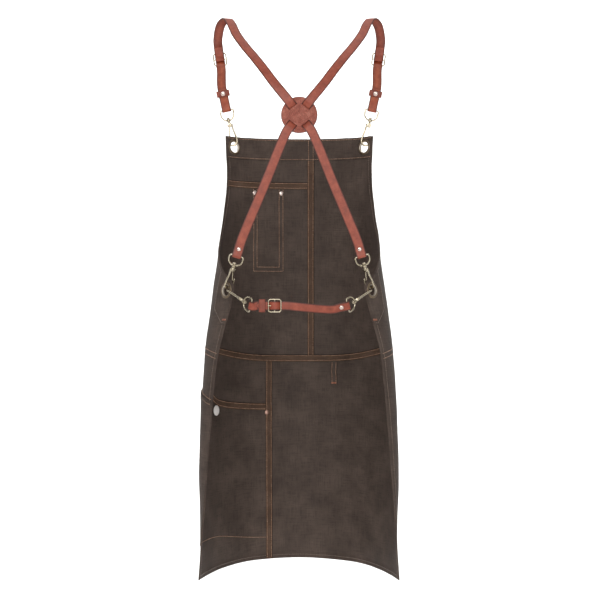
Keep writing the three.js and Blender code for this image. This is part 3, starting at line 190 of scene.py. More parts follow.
def form(along, drop):
    """The cloth's inner face: the body form with the slack of stiff canvas, pressed flat at its fittings."""
    along, drop = np.broadcast_arrays(np.asarray(along, float), np.asarray(drop, float))
    p = body_form(along, drop)
    radial = p * [1, 1, 0]
    slack = np.zeros(along.shape)
    for height, *sines in SLACK:
        first, second = (np.sin(along / a + drop / d + start) for a, d, start in sines)
        slack = slack + height * first * second
    bib = drop < waist_at(along)
    slack += pucker(along, drop - waist_at(along))
    slack += np.where(bib, pucker(drop, along - CENTRE_SEAM), pucker(drop, along - SKIRT_SEAM))
    slack += np.where(bib & (along < CENTRE_SEAM), pucker(along, drop - CHEST_SEAM), 0)
    slack += np.where(~bib & (along < SKIRT_SEAM), pucker(along, drop - hip_at(along)), 0)
    p = p + unit(radial) * slack[..., None]
    for (a, d), place, flat, faded in pressed:
        far = np.hypot(along - a, drop - d)
        t = np.clip((faded - far) / (faded - flat), 0, 1)
        normal = place[:3, 2]
        height = (place[:3, 3] - p) @ normal
        p = p + (height * t * t * (3 - 2 * t))[..., None] * normal
    return p


def cloth(along, drop, level):
    """Points at a level above the cloth's inner face, in mm."""
    reach = 0.5
    across = unit(form(along + reach, drop) - form(along - reach, drop))
    down = unit(form(along, drop + reach) - form(along, drop - reach))
    return form(along, drop) + unit(np.cross(across, down)) * np.asarray(level, float)[..., None]


# The folded hem along the sides and the bottom lies on the inner face, two more layers of the same canvas
HEM_WIDTH = 9.5
HEM_LIFT = 0.75
HEM_STEP = 1.2  # the run in which it rises


def hem(along, drop):
    """How far the hem lifts the inner face and all that lies on it."""
    inset = np.minimum(side_edge(drop) - np.abs(along), LENGTH - drop)
    return HEM_LIFT * np.clip((HEM_WIDTH + HEM_STEP / 2 - inset) / HEM_STEP, 0, 1)


def linear(colour):
    """sRGB hex to the linear colour that shaders take."""
    parts = [int(colour[i : i + 2], 16) / 255 for i in (1, 3, 5)]
    return [c / 12.92 if c <= 0.04045 else ((c + 0.055) / 1.055) ** 2.4 for c in parts] + [1]


def add(tree, kind, inputs=None, **settings):
    """Adds a node, with its settings, and its inputs as values or as the sockets that feed them."""
    node = tree.nodes.new(kind)
    for key, value in settings.items():
        setattr(node, key, value)
    for key, value in (inputs or {}).items():
        if isinstance(value, bpy.types.NodeSocket):
            tree.links.new(value, node.inputs[key])
        else:
            node.inputs[key].default_value = value
    return node


def finish(name, inputs):
    """A new material, its tree and its shader."""
    made = bpy.data.materials.new(name)
    made.use_nodes = True
    tree = made.node_tree
    tree.nodes.clear()
    shader = add(tree, "ShaderNodeBsdfPrincipled", inputs)
    add(tree, "ShaderNodeOutputMaterial", {"Surface": shader.outputs[0]})
    return made, tree, shader


def ramp(tree, factor, stops):
    """A colour ramp: places and sRGB colours, or places and grey values."""
    made = add(tree, "ShaderNodeValToRGB", {"Fac": factor})
    points = made.color_ramp.elements
    while len(points) < len(stops):
        points.new(0.5)
    for point, (place, colour) in zip(points, stops):
        point.position = place
        point.color = linear(colour) if isinstance(colour, str) else [colour, colour, colour, 1]
    return made.outputs["Color"]


def noise(tree, place, scale, detail=2.0, roughness=0.5, distortion=0.0):
    inputs = {"Vector": place, "Scale": scale, "Detail": detail, "Roughness": roughness, "Distortion": distortion}
    return add(tree, "ShaderNodeTexNoise", inputs).outputs["Fac"]


def worked(tree, operation, first, second=0.0):
    return add(tree, "ShaderNodeMath", {0: first, 1: second}, operation=operation).outputs[0]


def mapped(tree, value, start, end, low, high):
    """A value between start and end, carried over to between low and high."""
    inputs = {"Value": value, "From Min": start, "From Max": end, "To Min": low, "To Max": high}
    return add(tree, "ShaderNodeMapRange", inputs).outputs[0]


def mixed(tree, factor, first, second, blend="MIX"):
    """Two colours mixed by a factor, or multiplied."""
    inputs = {"Factor": factor, "A": first, "B": second}
    return add(tree, "ShaderNodeMix", inputs, data_type="RGBA", blend_type=blend).outputs["Result"]


def bumped(tree, height, strength, deep, under=None):
    """Relief that is so many mm deep, on top of another if one is given."""
    inputs = {"Strength": strength, "Distance": deep * MM, "Height": height}
    if under is not None:
        inputs["Normal"] = under
    return add(tree, "ShaderNodeBump", inputs).outputs[0]


def feed(tree, shader, **sockets):
    """Links sockets to the shader's inputs, which are named with _ for a space."""
    for key, socket in sockets.items():
        tree.links.new(socket, shader.inputs[key.replace("_", " ")])


# Cotton canvas dressed with wax: a dull brown-grey plain weave that shows slubs in its threads, cloudy wax and pale
# rubs where it has creased. The threads lie 0.8 mm apart, which is finer than a pixel, so they are drawn at 1.7 mm.
THREAD_SPACING = 1.7 * MM
WAVE_UNIT = 0.314159  # a band texture repeats once in this length at scale 1
PAINTED_FOLD_SHADE = "#241b15"  # painted shade that stands for the shadow along the folded side of a seam


def waxed_canvas(name, dark, mid, pale):
    made, tree, shader = finish(name, {"Specular IOR Level": 0.16, "Sheen Weight": 0.03, "Sheen Roughness": 0.45})
    place = add(tree, "ShaderNodeAttribute", attribute_name="pattern").outputs["Vector"]
    bands = {"Vector": place, "Scale": WAVE_UNIT / THREAD_SPACING, "Distortion": 0.5, "Detail": 1.0}
    bands["Detail Scale"] = 2.0
    threads, slubs = [], []
    for direction, stretch in (("X", (900, 60, 1)), ("Y", (60, 900, 1))):
        threads.append(add(tree, "ShaderNodeTexWave", bands, bands_direction=direction).outputs["Fac"])
        thread_way = add(tree, "ShaderNodeVectorMath", {0: place, 1: stretch}, operation="MULTIPLY")
        slubs.append(noise(tree, thread_way.outputs[0], 0.55))
    weave, slub = worked(tree, "MULTIPLY", *threads), worked(tree, "ADD", *slubs)
    cloud = noise(tree, place, 17.0, 5.0, 0.62)
    crease = noise(tree, place, 34.0, 4.0, 0.55, 0.8)
    beside_crease = worked(tree, "ABSOLUTE", worked(tree, "SUBTRACT", crease, 0.5))
    rub = ramp(tree, beside_crease, [(0.0, 0.16), (0.035, 0.0)])
    base = ramp(tree, cloud, [(0.3, dark), (0.5, mid), (0.72, pale)])
    slub_tone = ramp(tree, slub, [(0.8, 0.86), (1.2, 1.12)])
    gap_tone = ramp(tree, weave, [(0.0, 0.84), (0.45, 1.04)])
    woven = mixed(tree, 1.0, mixed(tree, 1.0, base, slub_tone, "MULTIPLY"), gap_tone, "MULTIPLY")
    rubbed = mixed(tree, rub, woven, linear(pale))
    # Painted shade: the edge attribute darkens the canvas along a seam's folded side, in place of its shadow
    fold_shade = add(tree, "ShaderNodeAttribute", attribute_name="edge").outputs["Fac"]
    feed(
        tree,
        shader,
        Base_Color=mixed(tree, fold_shade, rubbed, linear(PAINTED_FOLD_SHADE)),
        Roughness=mapped(tree, cloud, 0.3, 0.7, 0.62, 0.8),
        Normal=bumped(tree, crease, 0.3, 0.9, bumped(tree, worked(tree, "ADD", weave, slub), 0.35, 0.3)),
    )
    return made


canvas = waxed_canvas("waxed_canvas", "#453a34", "#51453e", "#5f524a")
facing = waxed_canvas("canvas_facing", "#433831", "#4f433c", "#5d5048")
felled = waxed_canvas("felled_seam_canvas", "#49392e", "#574336", "#665245")


def set_mesh(name, points, faces, material, pattern=None, matrix=None, edge=None):
    """A piece from points in mm and faces, smoothly shaded, with its place in the cut kept for its pattern."""
    data = bpy.data.meshes.new(name)
    data.from_pydata((np.asarray(points) * MM).tolist(), [], [list(map(int, f)) for f in faces])
    data.shade_smooth()
    if pattern is not None:
        kept = data.attributes.new("pattern", "FLOAT_VECTOR", "POINT")
        kept.data.foreach_set("vector", (np.asarray(pattern) * MM).astype(np.float32).ravel())
    if edge is not None:
        kept = data.attributes.new("edge", "FLOAT", "POINT")
        kept.data.foreach_set("value", np.asarray(edge, np.float32))
    data.materials.append(material)
    made = bpy.data.objects.new(name, data)
    bpy.context.scene.collection.objects.link(made)
    if matrix is not None:
        placed = matrix.copy()
        placed[:3, 3] *= MM
        made.matrix_world = Matrix(placed.tolist())
    return made


def lines(count, first=(0,), last=(0,)):
    """Places across a piece as (share, offset): fixed insets from both ends, even ones between."""
    made = [(0, a) for a in first]
    made += [(i / count, first[-1] * (1 - i / count) - last[-1] * i / count) for i in range(1, count)]
    return made + [(1, -b) for b in reversed(last)]


EDGE_SHARE = 0.28  # how far a cloth's edge rounds out, as a share of its thickness
EDGE_ANGLES = (50, 0, -50)


def shell(low_points, high_points, patches, bulge):
    """Closes two like sheets into one body with a rounded edge. Returns points, faces, and each point's source and
    share of the thickness."""
    count, rings = len(low_points), len(EDGE_ANGLES)
    present = {(int(f[k]), int(f[(k + 1) % len(f)])) for f in patches for k in range(len(f))}
    border = sorted((p, q) for p, q in present if (q, p) not in present)
    out = unit(high_points - low_points)
    half = np.linalg.norm(high_points - low_points, axis=1) / 2
    push = np.zeros((count, 3))
    for p, q in border:
        way = np.cross(unit(low_points[q] - low_points[p]), out[p])
        push[p] += way
        push[q] += way
    rim = np.array(sorted({p for pair in border for p in pair}))
    at = np.full(count, -1)
    at[rim] = np.arange(len(rim))
    centre = (low_points + high_points)[rim] / 2
    points, source, share = [low_points, high_points], [np.arange(count)] * 2, [np.zeros(count), np.ones(count)]
    for angle in EDGE_ANGLES:
        rise, reach = math.sin(math.radians(angle)), math.cos(math.radians(angle))
        bulged = unit(push[rim]) * (2 * half[rim] * bulge * reach)[:, None]
        points.append(centre + out[rim] * (half[rim] * rise)[:, None] + bulged)
        source.append(rim)
        share.append(np.full(len(rim), 0.5 + rise / 2))
    faces = [[int(v) + count for v in f] for f in patches] + [[int(v) for v in f[::-1]] for f in patches]
    for p, q in border:
        chain = [[v + count, *(2 * count + k * len(rim) + at[v] for k in range(rings)), v] for v in (p, q)]
        for k in range(rings + 1):
            faces.append((chain[1][k], chain[0][k], chain[0][k + 1], chain[1][k + 1]))
    return np.concatenate(points), faces, np.concatenate(source), np.concatenate(share)


CELL = 4.2  # spacing of the cloth's mesh


def cloth_piece(name, material, edges, levels, rims=None, holes=(), cell=CELL, fold_shade=None):
    """A closed sheet of cloth between two levels, its edges rounded, with holes as (along, drop, radius). Its edges
    are lines of the cut: left, right, top, bottom. Returns it with its flat size and area in metres."""
    rims = rims or {}
    left, right, top, bottom = edges
    inner, outer = levels

    def apart(low, high, place):
        return float(high(np.array(place)) - low(np.array(place)))

    foot = float(bottom(np.array(0.0)))
    middle = float(top(np.array(0.0)) + foot) / 2
    widest = max(apart(left, right, drop) for drop in (middle, foot))
    tallest = max(apart(top, bottom, float(side(np.array(middle)))) for side in (left, right))
    us = lines(max(2, round(widest / cell)), rims.get("left", (0,)), rims.get("right", (0,)))
    vs = lines(max(2, round(tallest / cell)), rims.get("top", (0,)), rims.get("bottom", (0,)))
    u_share, u_off = np.array(us, float).T
    v_share, v_off = np.array(vs, float).T
    along = np.zeros((len(vs), len(us)))
    drop = np.full(along.shape, middle)
    for _ in range(9):
        lo, hi = left(drop), right(drop)
        along = lo + (hi - lo) * u_share + u_off
        lo, hi = top(along), bottom(along)
        drop = lo + (hi - lo) * v_share[:, None] + v_off[:, None]
    width = len(us)
    a, d = along.ravel(), drop.ravel()
    j, i = np.mgrid[0 : len(vs) - 1, 0 : width - 1]
    corner = (j * width + i).ravel()
    quads = np.stack([corner, corner + 1, corner + width + 1, corner + width], -1)
    for hole_along, hole_drop, radius in holes:
        far = np.hypot(a - hole_along, d - hole_drop)
        removed = (far[quads] < radius - 0.3).any(-1)
        ragged = np.unique(quads[removed])
        ragged = ragged[far[ragged] >= radius - 0.3]
        share = radius / far[ragged]
        a[ragged] = hole_along + (a[ragged] - hole_along) * share
        d[ragged] = hole_drop + (d[ragged] - hole_drop) * share
        quads = quads[~removed]
    used = np.unique(quads)
    renumber = np.full(len(a), -1)
    renumber[used] = np.arange(len(used))
    quads, a, d = renumber[quads], a[used], d[used]
    low, high = inner(a, d), outer(a, d)
    points, faces, source, share = shell(cloth(a, d, low), cloth(a, d, high), quads, EDGE_SHARE)
    level = low[source] * (1 - share) + high[source] * share
    pattern = np.stack([a[source], d[source], level], -1)
    # The last argument, when given, gives painted shade along a seam's fold, kept in the edge attribute
    made = set_mesh(name, points, faces, material, pattern, edge=fold_shade(a[source], d[source]) if fold_shade else None)
    spans = (along.max() - along.min()) * MM, (drop.max() - drop.min()) * MM
    corners = np.stack([along, drop], -1)
    (x1, y1), (x2, y2) = (corners[1:, 1:] - corners[:-1, :-1]).T, (corners[1:, :-1] - corners[:-1, 1:]).T
    return made, spans, np.abs(x1 * y2 - y1 * x2).sum() / 2 * MM * MM


def at_level(value):
    return lambda along, drop: np.full(np.shape(along), float(value))


def on_inside(value):
    return lambda along, drop: value - hem(along, drop)


def fixed(value):
    return lambda other: np.full(np.shape(other), float(value))


def beside(line, off):
    """A line of the cut, moved by so many mm."""
    return lambda other: line(other) + off


def left_side(drop):
    return -side_edge(drop)


# Bib and skirt. Six panels of the canvas: the seams part the bib down its centre and across the left chest, and the
# skirt down its left front and across the left hip. The sides and the bottom are hemmed.
HALF_GAP = 0.15
EYELET_CUT = 12.3  # radius cut from the cloth, hidden under the flanges
HEM_RIM = (0, 1.2, HEM_WIDTH - 1, HEM_WIDTH + 1.2)
LEFT_HEM, RIGHT_HEM, FOOT_HEM = {"left": HEM_RIM}, {"right": HEM_RIM}, {"bottom": HEM_RIM}
hole_list = [(*place, EYELET_CUT) for place in EYELETS.values()]
bib_middle, skirt_middle = fixed(CENTRE_SEAM - HALF_GAP), fixed(SKIRT_SEAM - HALF_GAP)
bib_foot, skirt_head = beside(waist_at, -HALF_GAP), beside(waist_at, HALF_GAP)
# Left, right, top and bottom edge of each, and its hems
PANELS = {
    "bib_upper_left": (left_side, bib_middle, fixed(0), fixed(CHEST_SEAM - HALF_GAP), LEFT_HEM),
    "bib_lower_left": (left_side, bib_middle, fixed(CHEST_SEAM + HALF_GAP), bib_foot, LEFT_HEM),
    "bib_right": (fixed(CENTRE_SEAM + HALF_GAP), side_edge, fixed(0), bib_foot, RIGHT_HEM),
    "skirt_upper_left": (fixed(-HALF_WIDTH), skirt_middle, skirt_head, beside(hip_at, -HALF_GAP), LEFT_HEM),
    "skirt_lower_left": (
        fixed(-HALF_WIDTH),
        skirt_middle,
        beside(hip_at, HALF_GAP),
        fixed(LENGTH),
        LEFT_HEM | FOOT_HEM,
    ),
    "skirt_right": (
        fixed(SKIRT_SEAM + HALF_GAP),
        fixed(HALF_WIDTH),
        skirt_head,
        fixed(LENGTH),
        RIGHT_HEM | FOOT_HEM,
    ),
}
for name, (*edges, rims) in PANELS.items():
    levels = on_inside(0), at_level(CANVAS_THICK)
    panel, spans, area = cloth_piece(f"{name}_canvas", canvas, edges, levels, rims, hole_list)
    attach(panel, "apron")
    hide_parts(name)

# Band and seams inside. A band of the same canvas backs the bib's top edge, and each seam is felled: its allowance is
# folded into a flat ridge and stitched down along both sides, so that it stands proud of the cloth by its layers.
SEAM_WIDTH = 13
HALF_SEAM = SEAM_WIDTH / 2
SEAM_FACE = -1.3
SEAM_BACK = -0.3
SEAM_INSET = 1.9  # edge of the ridge to its stitching
ROW_OFF = HALF_SEAM - SEAM_INSET
ROW_DIP, ROW_DIP_WIDTH, SWELL = 0.3, 0.8, 0.35
BAND_HEIGHT = 43
EDGE_MARGIN = 1
STRIP_GAP, STRIP_TUCK = 0.3, 1  # where a strip meets another end on, and where it runs in under one
STRIP_RIM = (0, 0.7, 1.9, 3.2)
STRIP_CELL = 3.6
FOLD_SHADE_REACH = 1.9  # width of the painted shade along a seam's folded side


def seam(name, node, line, start, end, upright):
    """A felled seam along a line of the cut, between two others. It dips where the thread pulls it in, and swells
    between its two rows, and painted shade darkens its folded side."""
    sides = beside(line, -HALF_SEAM), beside(line, HALF_SEAM)
    edges = (*sides, start, end) if upright else (start, end, *sides)
    rims = dict.fromkeys(("left", "right") if upright else ("top", "bottom"), STRIP_RIM)
    folded_side = 1 if upright else -1

    def distance(along, drop):
        return along - line(drop) if upright else drop - line(along)

    def face(along, drop):
        off = np.abs(distance(along, drop))
        dip = ROW_DIP * np.exp(-(((off - ROW_OFF) / ROW_DIP_WIDTH) ** 2))
        swell = SWELL * np.clip(1 - (off / ROW_OFF) ** 2, 0, 1)
        return SEAM_FACE - hem(along, drop) + dip - swell

    # Painted shade: dark at the ridge's folded edge and fading inwards, in place of the shadow that the ridge casts
    def fold_shade(along, drop):
        return np.clip(1 - (HALF_SEAM - folded_side * distance(along, drop)) / FOLD_SHADE_REACH, 0, 1)

    levels = face, on_inside(SEAM_BACK)
    strip, _, area = cloth_piece(name, felled, edges, levels, rims, hole_list, STRIP_CELL, fold_shade)
    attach(strip, "apron")
    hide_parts(node)


bib_end, skirt_start = beside(waist_at, -HALF_SEAM - STRIP_GAP), beside(waist_at, HALF_SEAM + STRIP_GAP)
left_end, right_end = fixed(EDGE_MARGIN - HALF_WIDTH), fixed(HALF_WIDTH - EDGE_MARGIN)
chest_end, hip_end = (fixed(middle - HALF_SEAM + STRIP_TUCK) for middle in (CENTRE_SEAM, SKIRT_SEAM))
seam("seam_centre", "bib_seams", fixed(CENTRE_SEAM), fixed(BAND_HEIGHT + STRIP_GAP), bib_end, True)
seam("seam_chest", "bib_seams", fixed(CHEST_SEAM), beside(left_side, EDGE_MARGIN), chest_end, False)
seam("seam_waist", "waist_seam", waist_at, left_end, right_end, False)
seam("seam_skirt", "skirt_seams", fixed(SKIRT_SEAM), skirt_start, fixed(LENGTH), True)
seam("seam_hip", "skirt_seams", hip_at, left_end, hip_end, False)
edges = left_side, side_edge, fixed(0), fixed(BAND_HEIGHT)
levels = on_inside(SEAM_FACE), on_inside(SEAM_BACK)
band, spans, area = cloth_piece("band_top", facing, edges, levels, {"bottom": (0, 0.8, 2.0)}, hole_list)
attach(band, "apron")
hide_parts("top_band")

# Pockets and tabs on the outer face, and the towel loop inside. Each is one more layer of canvas sewn to the panels:
# a narrow pen pocket, a deep pocket at the left hip, a tab that carries each side eyelet, and a doubled tape.
OUTER_BACK = CANVAS_THICK + 0.3
OUTER_FACE = OUTER_BACK + 1.0
PEN_CENTRE, PEN_WIDTH, PEN_HEIGHT = -64, 66, 166
PEN_TOP = CHEST_SEAM + HALF_SEAM
HIP_POCKET_HEIGHT = 262
FLOOR_RISE = 22
FLOOR_TURNS = [0, 0.19, 0.33, 0.44, 0.65, 1]
FLOOR_SHARES = [0, 0.05, 0.22, 0.46, 0.9, 1]
PEN_BELLY, HIP_BELLY, BELLY_DEPTH = 0.8, 1.6, 38  # how far a mouth stands off, and how deep down that goes
MOUTH_FOLD, MOUTH_LIFT = 11, 0.5  # the mouth's turned edge
TAB_HEIGHT, TAB_WIDTH, TAB_INSET = 100, 44, 4
TAB_TOP = ARMHOLE - TAB_HEIGHT * 0.27
TAB_TAPER, TAB_NARROWING = 0.7, 0.9  # where its lower end begins to narrow, and how much of its width goes
LOOP_WIDTH, LOOP_HEIGHT, LOOP_CENTRE = 12, 46, 71
LOOP_FACE = SEAM_FACE - 1


def floor_at(along):
    return HIP_SEAM + HIP_POCKET_HEIGHT - FLOOR_RISE * smooth(FLOOR_TURNS, FLOOR_SHARES, outward(along))


def pocket(name, node, edges, mouth):
    """A pocket: its mouth is folded double and bellies out a little between its ends."""
    left, right, top, _ = edges

    def belly(along, drop):
        lo, hi = left(drop), right(drop)
        middle = np.clip(1 - (2 * (along - lo) / (hi - lo) - 1) ** 2, 0, 1)
        return mouth * middle * np.exp(-(((drop - top(along)) / BELLY_DEPTH) ** 2))

    def inner(along, drop):
        return OUTER_BACK + belly(along, drop)

    def outer(along, drop):
        return OUTER_FACE + belly(along, drop) + MOUTH_LIFT * (drop < top(along) + MOUTH_FOLD)

    rims = {"top": (0, 1.2, 10, 12), "left": (0, 1), "right": (0, 1), "bottom": (0, 1)}
    made, spans, area = cloth_piece(name, canvas, edges, (inner, outer), rims, hole_list)
    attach(made, "apron")
    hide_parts(node)


PEN_LEFT, PEN_RIGHT, PEN_BOTTOM = PEN_CENTRE - PEN_WIDTH / 2, PEN_CENTRE + PEN_WIDTH / 2, PEN_TOP + PEN_HEIGHT
pocket("pocket_pens", "pen_pocket", (fixed(PEN_LEFT), fixed(PEN_RIGHT), fixed(PEN_TOP), fixed(PEN_BOTTOM)), PEN_BELLY)
pocket("pocket_hip", "hip_pocket", (fixed(-HALF_WIDTH), fixed(SKIRT_SEAM), hip_at, floor_at), HIP_BELLY)


def tab_inner(drop):
    narrowing = np.clip(((np.asarray(drop, float) - TAB_TOP) / TAB_HEIGHT - TAB_TAPER) / (1 - TAB_TAPER), 0, 1)
    return HALF_WIDTH - TAB_WIDTH * (1 - TAB_NARROWING * narrowing) - TAB_INSET


def tab_outer(drop):
    return side_edge(drop) - EDGE_MARGIN


for name, left, right in (
    ("left", lambda drop: -tab_outer(drop), lambda drop: -tab_inner(drop)),
    ("right", tab_inner, tab_outer),
):
    edges = left, right, fixed(TAB_TOP), fixed(TAB_TOP + TAB_HEIGHT)
    levels = at_level(OUTER_BACK), at_level(OUTER_FACE)
    tab, spans, area = cloth_piece(f"tab_{name}", canvas, edges, levels, None, hole_list, 3)
    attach(tab, "apron")
    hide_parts(f"side_tab_{name}")

edges = (
    fixed(LOOP_CENTRE - LOOP_WIDTH / 2),
    fixed(LOOP_CENTRE + LOOP_WIDTH / 2),
    skirt_start,
    beside(skirt_start, LOOP_HEIGHT),
)
levels = at_level(LOOP_FACE), at_level(SEAM_BACK)
tape, spans, area = cloth_piece("tape_loop", canvas, edges, levels, {"left": (0, 1), "right": (0, 1)}, (), 2.5)
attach(tape, "apron")
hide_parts("towel_loop")

# Stitching. Corespun polyester in tan, dun and rust, lockstitched in rows that show on both faces of the cloth; short
# satin bars hold the ends that are pulled on. Each stitch is its own bit of thread. Real thread is 0.7 mm thick, which
# is finer than a pixel, so it is drawn 1 mm thick.
STITCH_PITCH = 3.6
STITCH_SHARE = 0.86  # of the pitch that shows on top
STITCH_SWING, STITCH_SPREAD = 0.035, 0.05  # how unevenly the stitches turn, in radians, and how their lengths vary
THREAD_RADIUS = 0.5
# Rings of a stitch: share of its length, height above the cloth, and share of the radius
STITCH_RINGS = [(-0.5, -0.12, 0.55), (-0.3, 0.24, 0.95), (0.3, 0.24, 0.95), (0.5, -0.12, 0.55)]
STITCH_SIDES = 5
chance = np.random.default_rng(7)


def sewing_thread(name, dark, mid, pale):
    made, tree, shader = finish(name, {"Roughness": 0.5, "Specular IOR Level": 0.4, "Sheen Weight": 0.2})
    place = add(tree, "ShaderNodeTexCoord").outputs["Object"]
    tint = ramp(tree, noise(tree, place, 260.0, 3.0), [(0.32, dark), (0.5, mid), (0.7, pale)])
    plies = {"Vector": place, "Scale": WAVE_UNIT / (0.6 * MM), "Distortion": 1.0}
    ply = add(tree, "ShaderNodeTexWave", plies, bands_direction="DIAGONAL").outputs["Fac"]
    feed(tree, shader, Base_Color=tint, Normal=bumped(tree, ply, 0.4, 0.15))
    return made


tan_thread = sewing_thread("tan_polyester_thread", "#93694f", "#b58a6b", "#d2ab8c")
dun_thread = sewing_thread("dun_polyester_thread", "#66564a", "#7b685a", "#917d6e")
rust_thread = sewing_thread("rust_polyester_thread", "#7c4632", "#985b42", "#b0775b")


def spaced(points, pitch):
    """Points in mm along a line of the cut, a pitch apart, with the way that the line runs at each."""
    points = np.asarray(points, float)
    length = np.concatenate([[0], np.cumsum(np.linalg.norm(np.diff(points, axis=0), axis=1))])
    count = max(1, int(length[-1] // pitch))
    at = (np.arange(count) + 0.5) * length[-1] / count
    placed, ahead, behind = (
        np.stack([np.interp(at + shift, length, points[:, k]) for k in (0, 1)], -1) for shift in (0, 0.4, -0.4)
    )
    return placed, unit(ahead - behind)


def skin(rings, sides, closed=False, capped=True):
    """Faces between rings of points that follow one another, each of so many sides."""
    faces = []
    for i in range(rings if closed else rings - 1):
        near, far = i * sides, (i + 1) % rings * sides
        for k in range(sides):
            j = (k + 1) % sides
            faces.append((near + k, near + j, far + j, far + k))
    if capped and not closed:
        faces.append(tuple(range(sides - 1, -1, -1)))
        faces.append(tuple(range((rings - 1) * sides, rings * sides)))
    return faces


def thread_mesh(name, centres, ways, spans, levels, side, material):
    """Stitches at places of the cut: their middles, directions, lengths and the level of the face they lie on."""
    rings = []
    for share, height, width in STITCH_RINGS:
        at = centres + ways * (share * spans)[:, None]
        rings.append((cloth(at[:, 0], at[:, 1], levels + side * height), width))
    out = side * unit(cloth(*centres.T, levels + 1) - cloth(*centres.T, levels))
    run = unit(rings[-1][0] - rings[0][0])
    across = unit(np.cross(out, run))
    rise = np.cross(run, across)
    points = []
    for ring, width in rings:
        for k in range(STITCH_SIDES):
            angle = 2 * math.pi * k / STITCH_SIDES
            offset = across * math.cos(angle) + rise * math.sin(angle)
            points.append(ring + offset * THREAD_RADIUS * width)
    grid = np.stack(points, 1)
    base = np.arange(len(centres))[:, None] * grid.shape[1]
    faces = [f for face in skin(len(rings), STITCH_SIDES) for f in (base + list(face)).tolist()]
    made = set_mesh(name, grid.reshape(-1, 3), faces, material)
    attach(made, "apron")
    return made


def sew(name, rows, material=None):
    """Rows of lockstitch, as (line of the cut, level inside or None, level outside or None)."""
    for side, face in ((-1, 1), (1, 2)):
        centres, ways, levels, spans = [], [], [], []
        for row in rows:
            if row[face] is None:
                continue
            placed, way = spaced(row[0], STITCH_PITCH)
            if side < 0:
                level = row[1](placed[:, 0], placed[:, 1])
            else:
                level = np.full(len(placed), float(row[2]))
            turn = chance.normal(0, STITCH_SWING, len(placed))
            x, y = way.T
            swung = np.stack([x * np.cos(turn) - y * np.sin(turn), x * np.sin(turn) + y * np.cos(turn)], -1)
            centres.append(placed)
            ways.append(swung)
            levels.append(level)
            spans.append(STITCH_PITCH * STITCH_SHARE * (1 + chance.normal(0, STITCH_SPREAD, len(placed))))
        if centres:
            ending = "inside" if side < 0 else "outside"
            thread_mesh(
                f"{name}_{ending}",
                np.concatenate(centres),
                np.concatenate(ways),
                np.concatenate(spans),
                np.concatenate(levels),
                side,
                material or tan_thread,
            )


def across_line(level, start, end, count=90):
    """A line of the cut at drop = level(along)."""
    along = np.linspace(start, end, count)
    return np.stack([along, level(along) + np.zeros(count)], -1)


def down_line(inset, start, end, count=90):
    """A line of the cut at along = inset(drop)."""
    drop = np.linspace(start, end, count)
    return np.stack([inset(drop) + np.zeros(count), drop], -1)


INSIDE = on_inside(0)
ON_STRIP = on_inside(SEAM_FACE + 0.25)
ON_TAPE = at_level(LOOP_FACE)
BOTH_ROWS = (-ROW_OFF, ROW_OFF)
HEM_ROW = HEM_WIDTH - 1.6
ROW_END = 4  # from a row's end to the cloth's side edge
SEAM_STOP = HALF_SEAM + 0.5  # from a row's end to the middle of the seam that it runs up to
MOUTH_FACE = OUTER_FACE + MOUTH_LIFT
bib_foot_row = float(waist_at(CENTRE_SEAM)) - HALF_SEAM
skirt_top = float(waist_at(SKIRT_SEAM)) + HALF_SEAM
chest_start = -side_edge(CHEST_SEAM) + ROW_END
row_start, row_end, skirt_row_end = ROW_END - HALF_WIDTH, HALF_WIDTH - ROW_END, SKIRT_SEAM - SEAM_STOP
bib_rows = [
    across_line(fixed(BAND_HEIGHT - 2.6), -BIB_HALF + 2, BIB_HALF - 2),
    across_line(fixed(3.0), -BIB_HALF + 3, BIB_HALF - 3),
    *(down_line(fixed(CENTRE_SEAM + off), 3, bib_foot_row) for off in BOTH_ROWS),
    *(across_line(fixed(CHEST_SEAM + off), chest_start, CENTRE_SEAM - SEAM_STOP) for off in BOTH_ROWS),
]
sew("stitches_bib", [(row, ON_STRIP, CANVAS_THICK) for row in bib_rows])
waist_rows = [across_line(beside(waist_at, off), row_start, row_end, 220) for off in BOTH_ROWS]
sew("stitches_waist", [(row, ON_STRIP, CANVAS_THICK) for row in waist_rows])
skirt_rows = [(down_line(fixed(SKIRT_SEAM + off), skirt_top, LENGTH - 3), ON_STRIP, CANVAS_THICK) for off in BOTH_ROWS]
for off, outside in zip(BOTH_ROWS, (CANVAS_THICK, MOUTH_FACE)):
    skirt_rows.append((across_line(beside(hip_at, off), row_start, skirt_row_end, 120), ON_STRIP, outside))
sew("stitches_skirt", skirt_rows)


def pen_row(inset, floor):
    """A row down one side of the pen pocket, along its floor and up the other side."""
    left, right, mouth = PEN_LEFT + inset, PEN_RIGHT - inset, PEN_TOP + 1
    return np.array([(left, mouth), (left, floor), (right, floor), (right, mouth)]), INSIDE, OUTER_FACE


mouth_row = across_line(fixed(PEN_TOP + 9), PEN_LEFT + 2, PEN_RIGHT - 2)
pen_rows = [pen_row(1.8, PEN_BOTTOM - 1.8), pen_row(9.5, PEN_BOTTOM - 10), (mouth_row, None, MOUTH_FACE)]
sew("stitches_pens", pen_rows)
floor_row = across_line(beside(floor_at, -2.2), row_start, skirt_row_end, 120)
side_row = down_line(fixed(SKIRT_SEAM - 2), HIP_SEAM + 8, HIP_SEAM + HIP_POCKET_HEIGHT - 5)
sew("stitches_hip_pocket", [(floor_row, INSIDE, OUTER_FACE), (side_row, None, OUTER_FACE)])
hem_rows = [
    (down_line(lambda d: side * (side_edge(d) - HEM_ROW), 3, LENGTH - 5, 260), INSIDE, CANVAS_THICK + 0.05)
    for side in (-1, 1)
]
foot_row = across_line(fixed(LENGTH - HEM_ROW + 1.5), -HALF_WIDTH + 10, HALF_WIDTH - 10, 120)
sew("stitches_hem", [*hem_rows, (foot_row, INSIDE, CANVAS_THICK)], dun_thread)
tab_rows = []
TAB_ROW_TOP, TAB_ROW_FOOT = TAB_TOP + 2, TAB_TOP + TAB_HEIGHT - 3
